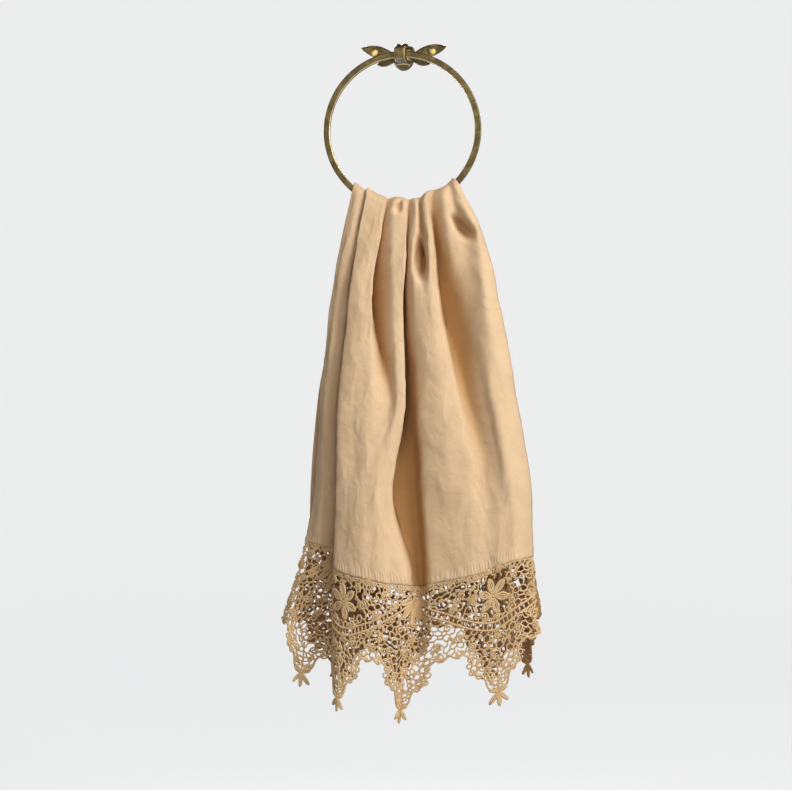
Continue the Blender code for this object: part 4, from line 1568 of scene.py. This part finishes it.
@dataclass
class RibbedBody:
    """The body in front of the plate: round lobes above, ribs and a petalled rim below."""

    oval: tuple[float, float] = (11.0, 13.5)
    back: float = -3.3
    front: float = -15.9
    boss: float = 0.48
    petals: int = 14
    petal_deep: float = 0.055
    brow: float = 0.86
    rib: float = 1.1
    rib_pitch: float = 4.6
    lobes: Sequence[tuple[float, float, float]] = (
        (-4.6, 9.0, 4.1), (2.3, 9.2, 4.1), (7.8, 6.2, 3.9),
    )  # fmt: skip
    steps: int = 126
    rings: int = 26

    def reach(self, turn: float) -> float:
        """Work out how far the body reaches from its middle.

        Args:
            turn: the direction, in radians from the right.

        Returns:
            Millimetres.
        """
        oval = 1 / math.hypot(math.cos(turn) / self.oval[0], math.sin(turn) / self.oval[1])
        if turn > math.pi:
            wave = abs(math.sin(turn * self.petals / 2))
            return (oval - 0.4) * (1 - self.petal_deep * (1 - wave))
        found = self.brow * oval
        for x, z, radius in self.lobes:
            nearest = x * math.cos(turn) + z * math.sin(turn)
            spare = radius**2 - x**2 - z**2 + nearest**2
            if spare > 0:
                found = max(found, nearest + math.sqrt(spare))
        return found

    def depth(self, x: float, z: float, share: float) -> float:
        """Work out the front face's depth, with its ribs and lobes.

        Args:
            x: how far right of the middle the place is.
            z: how far above the middle it is.
            share: how far it is on the way to the rim, from 0 to 1.

        Returns:
            The place's depth.
        """
        swell = max(share - self.boss, 0.0) / (1 - self.boss)
        y = self.front + (self.back - 1.8 - self.front) * (1 - math.sqrt(max(1 - swell**2, 0)))
        y += self.rib * (0.5 - 0.5 * math.cos(math.tau * z / self.rib_pitch)) * min(2 * swell, 1.0)
        for lobe_x, lobe_z, radius in self.lobes:
            away = math.hypot(x - lobe_x, z - lobe_z) / radius
            if away < 1 and z > 3:
                y = min(y, self.back - 2.5 - 1.3 * radius * math.sqrt(1 - away**2))
        return max(min(y, self.back - 0.8), self.front)

    def build(self, finish: bpy.types.Material) -> bpy.types.Object:
        """Loft the body from its middle to its rim.

        Args:
            finish: the body's material.

        Returns:
            The piece.
        """
        points, wear = [(0.0, self.front, 0.0)], [0.0]
        for i in range(1, self.rings + 1):
            share = i / self.rings
            for j in range(self.steps):
                turn = math.tau * j / self.steps
                reach = self.reach(turn) * share
                x, z = reach * math.cos(turn), reach * math.sin(turn)
                points.append((x, self.depth(x, z, share), z))
                ridge = 0.5 + 0.5 * math.cos(math.tau * z / self.rib_pitch)
                wear.append(0.9 * ridge**3 * min(1.0, 2 * share) if z < 3 else 0.2 + 0.4 * share**4)
        start = 1 + (self.rings - 1) * self.steps
        points += [(x, self.back, z) for x, _, z in points[start:]]
        wear += [0.0] * self.steps
        skin = quads(self.rings + 1, self.steps, round_columns=True)
        faces = (skin[:, ::-1] + 1).tolist()
        faces += [(0, 1 + j, 1 + (j + 1) % self.steps) for j in range(self.steps)]
        piece = new_object("lobed_body", np.array(points), faces, finish)
        piece.data.set_sharp_from_angle(angle=math.radians(60))
        set_points(piece, "wear", wear)
        return piece


@dataclass
class ClampBlock:
    """The square block that holds the ring, with rounded edges rubbed bright."""

    low: tuple[float, float, float] = (-5.3, -40.0, -8.7)
    high: tuple[float, float, float] = (5.3, -16.2, 2.9)
    bevel: float = 0.9
    worn: float = 1.0
    dull: float = 0.35

    def build(self, finish: bpy.types.Material) -> bpy.types.Object:
        """Round a box and mark its edges.

        Args:
            finish: the block's material.

        Returns:
            The piece.
        """
        mesh = bmesh.new()
        bmesh.ops.create_cube(mesh, size=1.0)
        low, high = Vector(self.low), Vector(self.high)
        for vert in mesh.verts:
            share = vert.co + Vector((0.5, 0.5, 0.5))
            vert.co = [low[i] + (high[i] - low[i]) * share[i] for i in range(3)]
        bmesh.ops.bevel(
            mesh, geom=mesh.edges[:], offset=self.bevel, segments=4, affect="EDGES", profile=0.5
        )
        wear = []
        for vert in mesh.verts:
            gaps = [min(abs(vert.co[i] - low[i]), abs(vert.co[i] - high[i])) for i in range(3)]
            wear.append(self.worn if sorted(gaps)[1] < self.bevel * 0.6 else self.dull)
        mesh.verts.index_update()
        points = np.array([vert.co[:] for vert in mesh.verts])
        faces = [[vert.index for vert in face.verts] for face in mesh.faces]
        mesh.free()
        piece = new_object("square_block", points, faces, finish)
        set_points(piece, "wear", wear)
        return piece


# ---------------------------------------------------------------- studio


@dataclass(frozen=True)
class Studio:
    """A pale round floor that turns up into a low wall, soft lights and the camera, in metres."""

    floor: float = -1.0
    middle: float = 0.001
    radius: float = 3.2
    cove: float = 0.7
    top: float = 1.6
    glow: float = 0.86
    aim: tuple[float, float, float] = (0.0, 0.0, -0.33)
    ahead: float = 0.2
    behind: float = 0.05
    pale: tuple[float, float, float] = (0.82, 0.83, 0.84)
    matte: tuple[float, float, float] = (0.25, 0.253, 0.256)
    sight: Sight = Sight()
    steps: int = 96
    picture_width: float = 792.0

    def build_stage(self) -> None:
        """Turn the floor's profile round the object."""
        inner = self.radius - self.cove
        profile = [(self.middle, self.floor), (inner, self.floor)]
        for i in range(1, 13):
            turn = math.pi / 2 * i / 12
            rise = self.cove * (1 - math.cos(turn))
            profile.append((inner + self.cove * math.sin(turn), self.floor + rise))
        profile.append((self.radius, self.top))
        turns = [math.tau * i / self.steps for i in range(self.steps)]
        points = [(x * math.cos(t), x * math.sin(t), z) for x, z in profile for t in turns]
        faces = quads(len(profile), self.steps, round_columns=True).tolist()
        tree = Skin("pale_floor")
        tree.give("Base Color", (*self.matte, 1.0))
        tree.give("Roughness", 0.9)
        tree.give("Emission Color", (*self.pale, 1.0))
        tree.give("Emission Strength", self.glow)
        stage = new_object("pale_stage", np.array(points) / MM, faces, tree.material)
        stage.visible_diffuse = False
        stage.visible_shadow = False

    def add_light(
        self,
        name: str,
        place: tuple[float, float, float],
        size: float,
        power: float,
        tint: tuple[float, float, float],
        spread: float = 180.0,
    ) -> None:
        """Add a soft square light that faces the towel.

        Args:
            name: the light's name.
            place: where it stands, in metres.
            size: its side in metres.
            power: its power in watts.
            tint: its colour.
            spread: how wide its beam is, in degrees.
        """
        data = bpy.data.lights.new(name, "AREA")
        data.size = size
        data.energy = power
        data.color = tint
        data.spread = math.radians(spread)
        light = add_object(name, data)
        light.location = place
        aim = Vector(self.aim) - Vector(place)
        light.rotation_euler = aim.to_track_quat("-Z", "Y").to_euler()

    def build(self) -> None:
        """Set the stage, the lights, the sky and the camera."""
        self.build_stage()
        self.add_light("key", (1.85, -1.6, 0.85), 1.5, 73.0, (1.0, 0.975, 0.94))
        self.add_light("fill", (0.3, -2.8, 0.5), 1.8, 28.0, (1.0, 0.95, 0.87))
        self.add_light("back", (-0.5, 2.3, 0.5), 1.0, 14.0, (1.0, 0.97, 0.93), 50.0)
        world = bpy.data.worlds.new("soft_sky")
        bpy.context.scene.world = world
        world.use_nodes = True
        sky = Tree(world.node_tree)
        _, into_wall, _ = sky.parts(sky.add("ShaderNodeTexCoord", {}, {}, out="Generated"))
        sky.feed("Background", "Color", (1.0, 0.94, 0.86, 1.0))
        dimming = into_wall.over(-0.4, 0.5) * (self.ahead - self.behind)
        sky.feed("Background", "Strength", self.ahead - dimming)
        data = bpy.data.cameras.new("camera")
        data.sensor_width = 36.0
        data.lens = data.sensor_width * self.sight.distance / self.picture_width
        camera = add_object("camera", data)
        camera.location = self.sight.eye() * MM
        camera.rotation_euler = (math.pi / 2, 0.0, self.sight.turn)
        bpy.context.scene.camera = camera
        bpy.context.scene.view_settings.view_transform = "Standard"


# ---------------------------------------------------------------- everything


def fit(piece: bpy.types.Object, slot: str, *nodes: str) -> bpy.types.Object:
    """Hang a piece on the body and let it stand for its nodes.

    Args:
        piece: the piece.
        slot: not used.
        nodes: the solids that it stands for.

    Returns:
        The piece.
    """
    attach(piece, "root")
    if nodes:
        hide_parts(*nodes)
    log.info("%s: %d faces", piece.name, len(piece.data.polygons))
    return piece


def main() -> None:
    """Build the towel, its lace, the ring and bracket, and the studio."""
    logging.basicConfig(level=logging.INFO, format="%(message)s")
    Studio().build()
    linen = LinenFinish().make()
    cord = LaceFinish().make()
    aged = BrassFinish(
        "aged_brass_skin", (0.055, 0.042, 0.016), (0.12, 0.088, 0.035), (0.58, 0.44, 0.22)
    ).make()
    bright = BrassFinish(
        "bright_brass", (0.45, 0.30, 0.10), (0.68, 0.47, 0.17), (0.8, 0.6, 0.3), rough=0.3
    ).make()

    drape = Drape()
    front = drape.front()
    back = drape.back(front)
    cloth = fit(LinenPanel(drape).build(linen), "linen", "linen_panel")
    fine_lace = LaceStrip("front_lace", front, LacePattern(7), 1.0)
    front_lace = fit(fine_lace.build(cord), "lace", "lace_front")
    dense = LacePattern(11, net_pitch=5.4, fine=2.5, cord=2.6)
    dense_lace = LaceStrip("back_lace", back, dense, -1.0, sides=4)
    back_lace = fit(dense_lace.build(cord), "lace", "lace_back")
    ring = fit(TowelRing().build(aged), "aged_brass", "towel_ring")
    fit(WallPlate().build(aged), "aged_brass", "wall_plate")
    fit(RibbedBody().build(aged), "aged_brass", "ribbed_body")
    fit(ClampBlock().build(aged), "aged_brass", "clamp_block")
    for name in ("screw_left", "screw_right"):
        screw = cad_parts[name]
        for place in screw.material_slots:
            place.material = bright


if __name__ == "__main__":
    main()
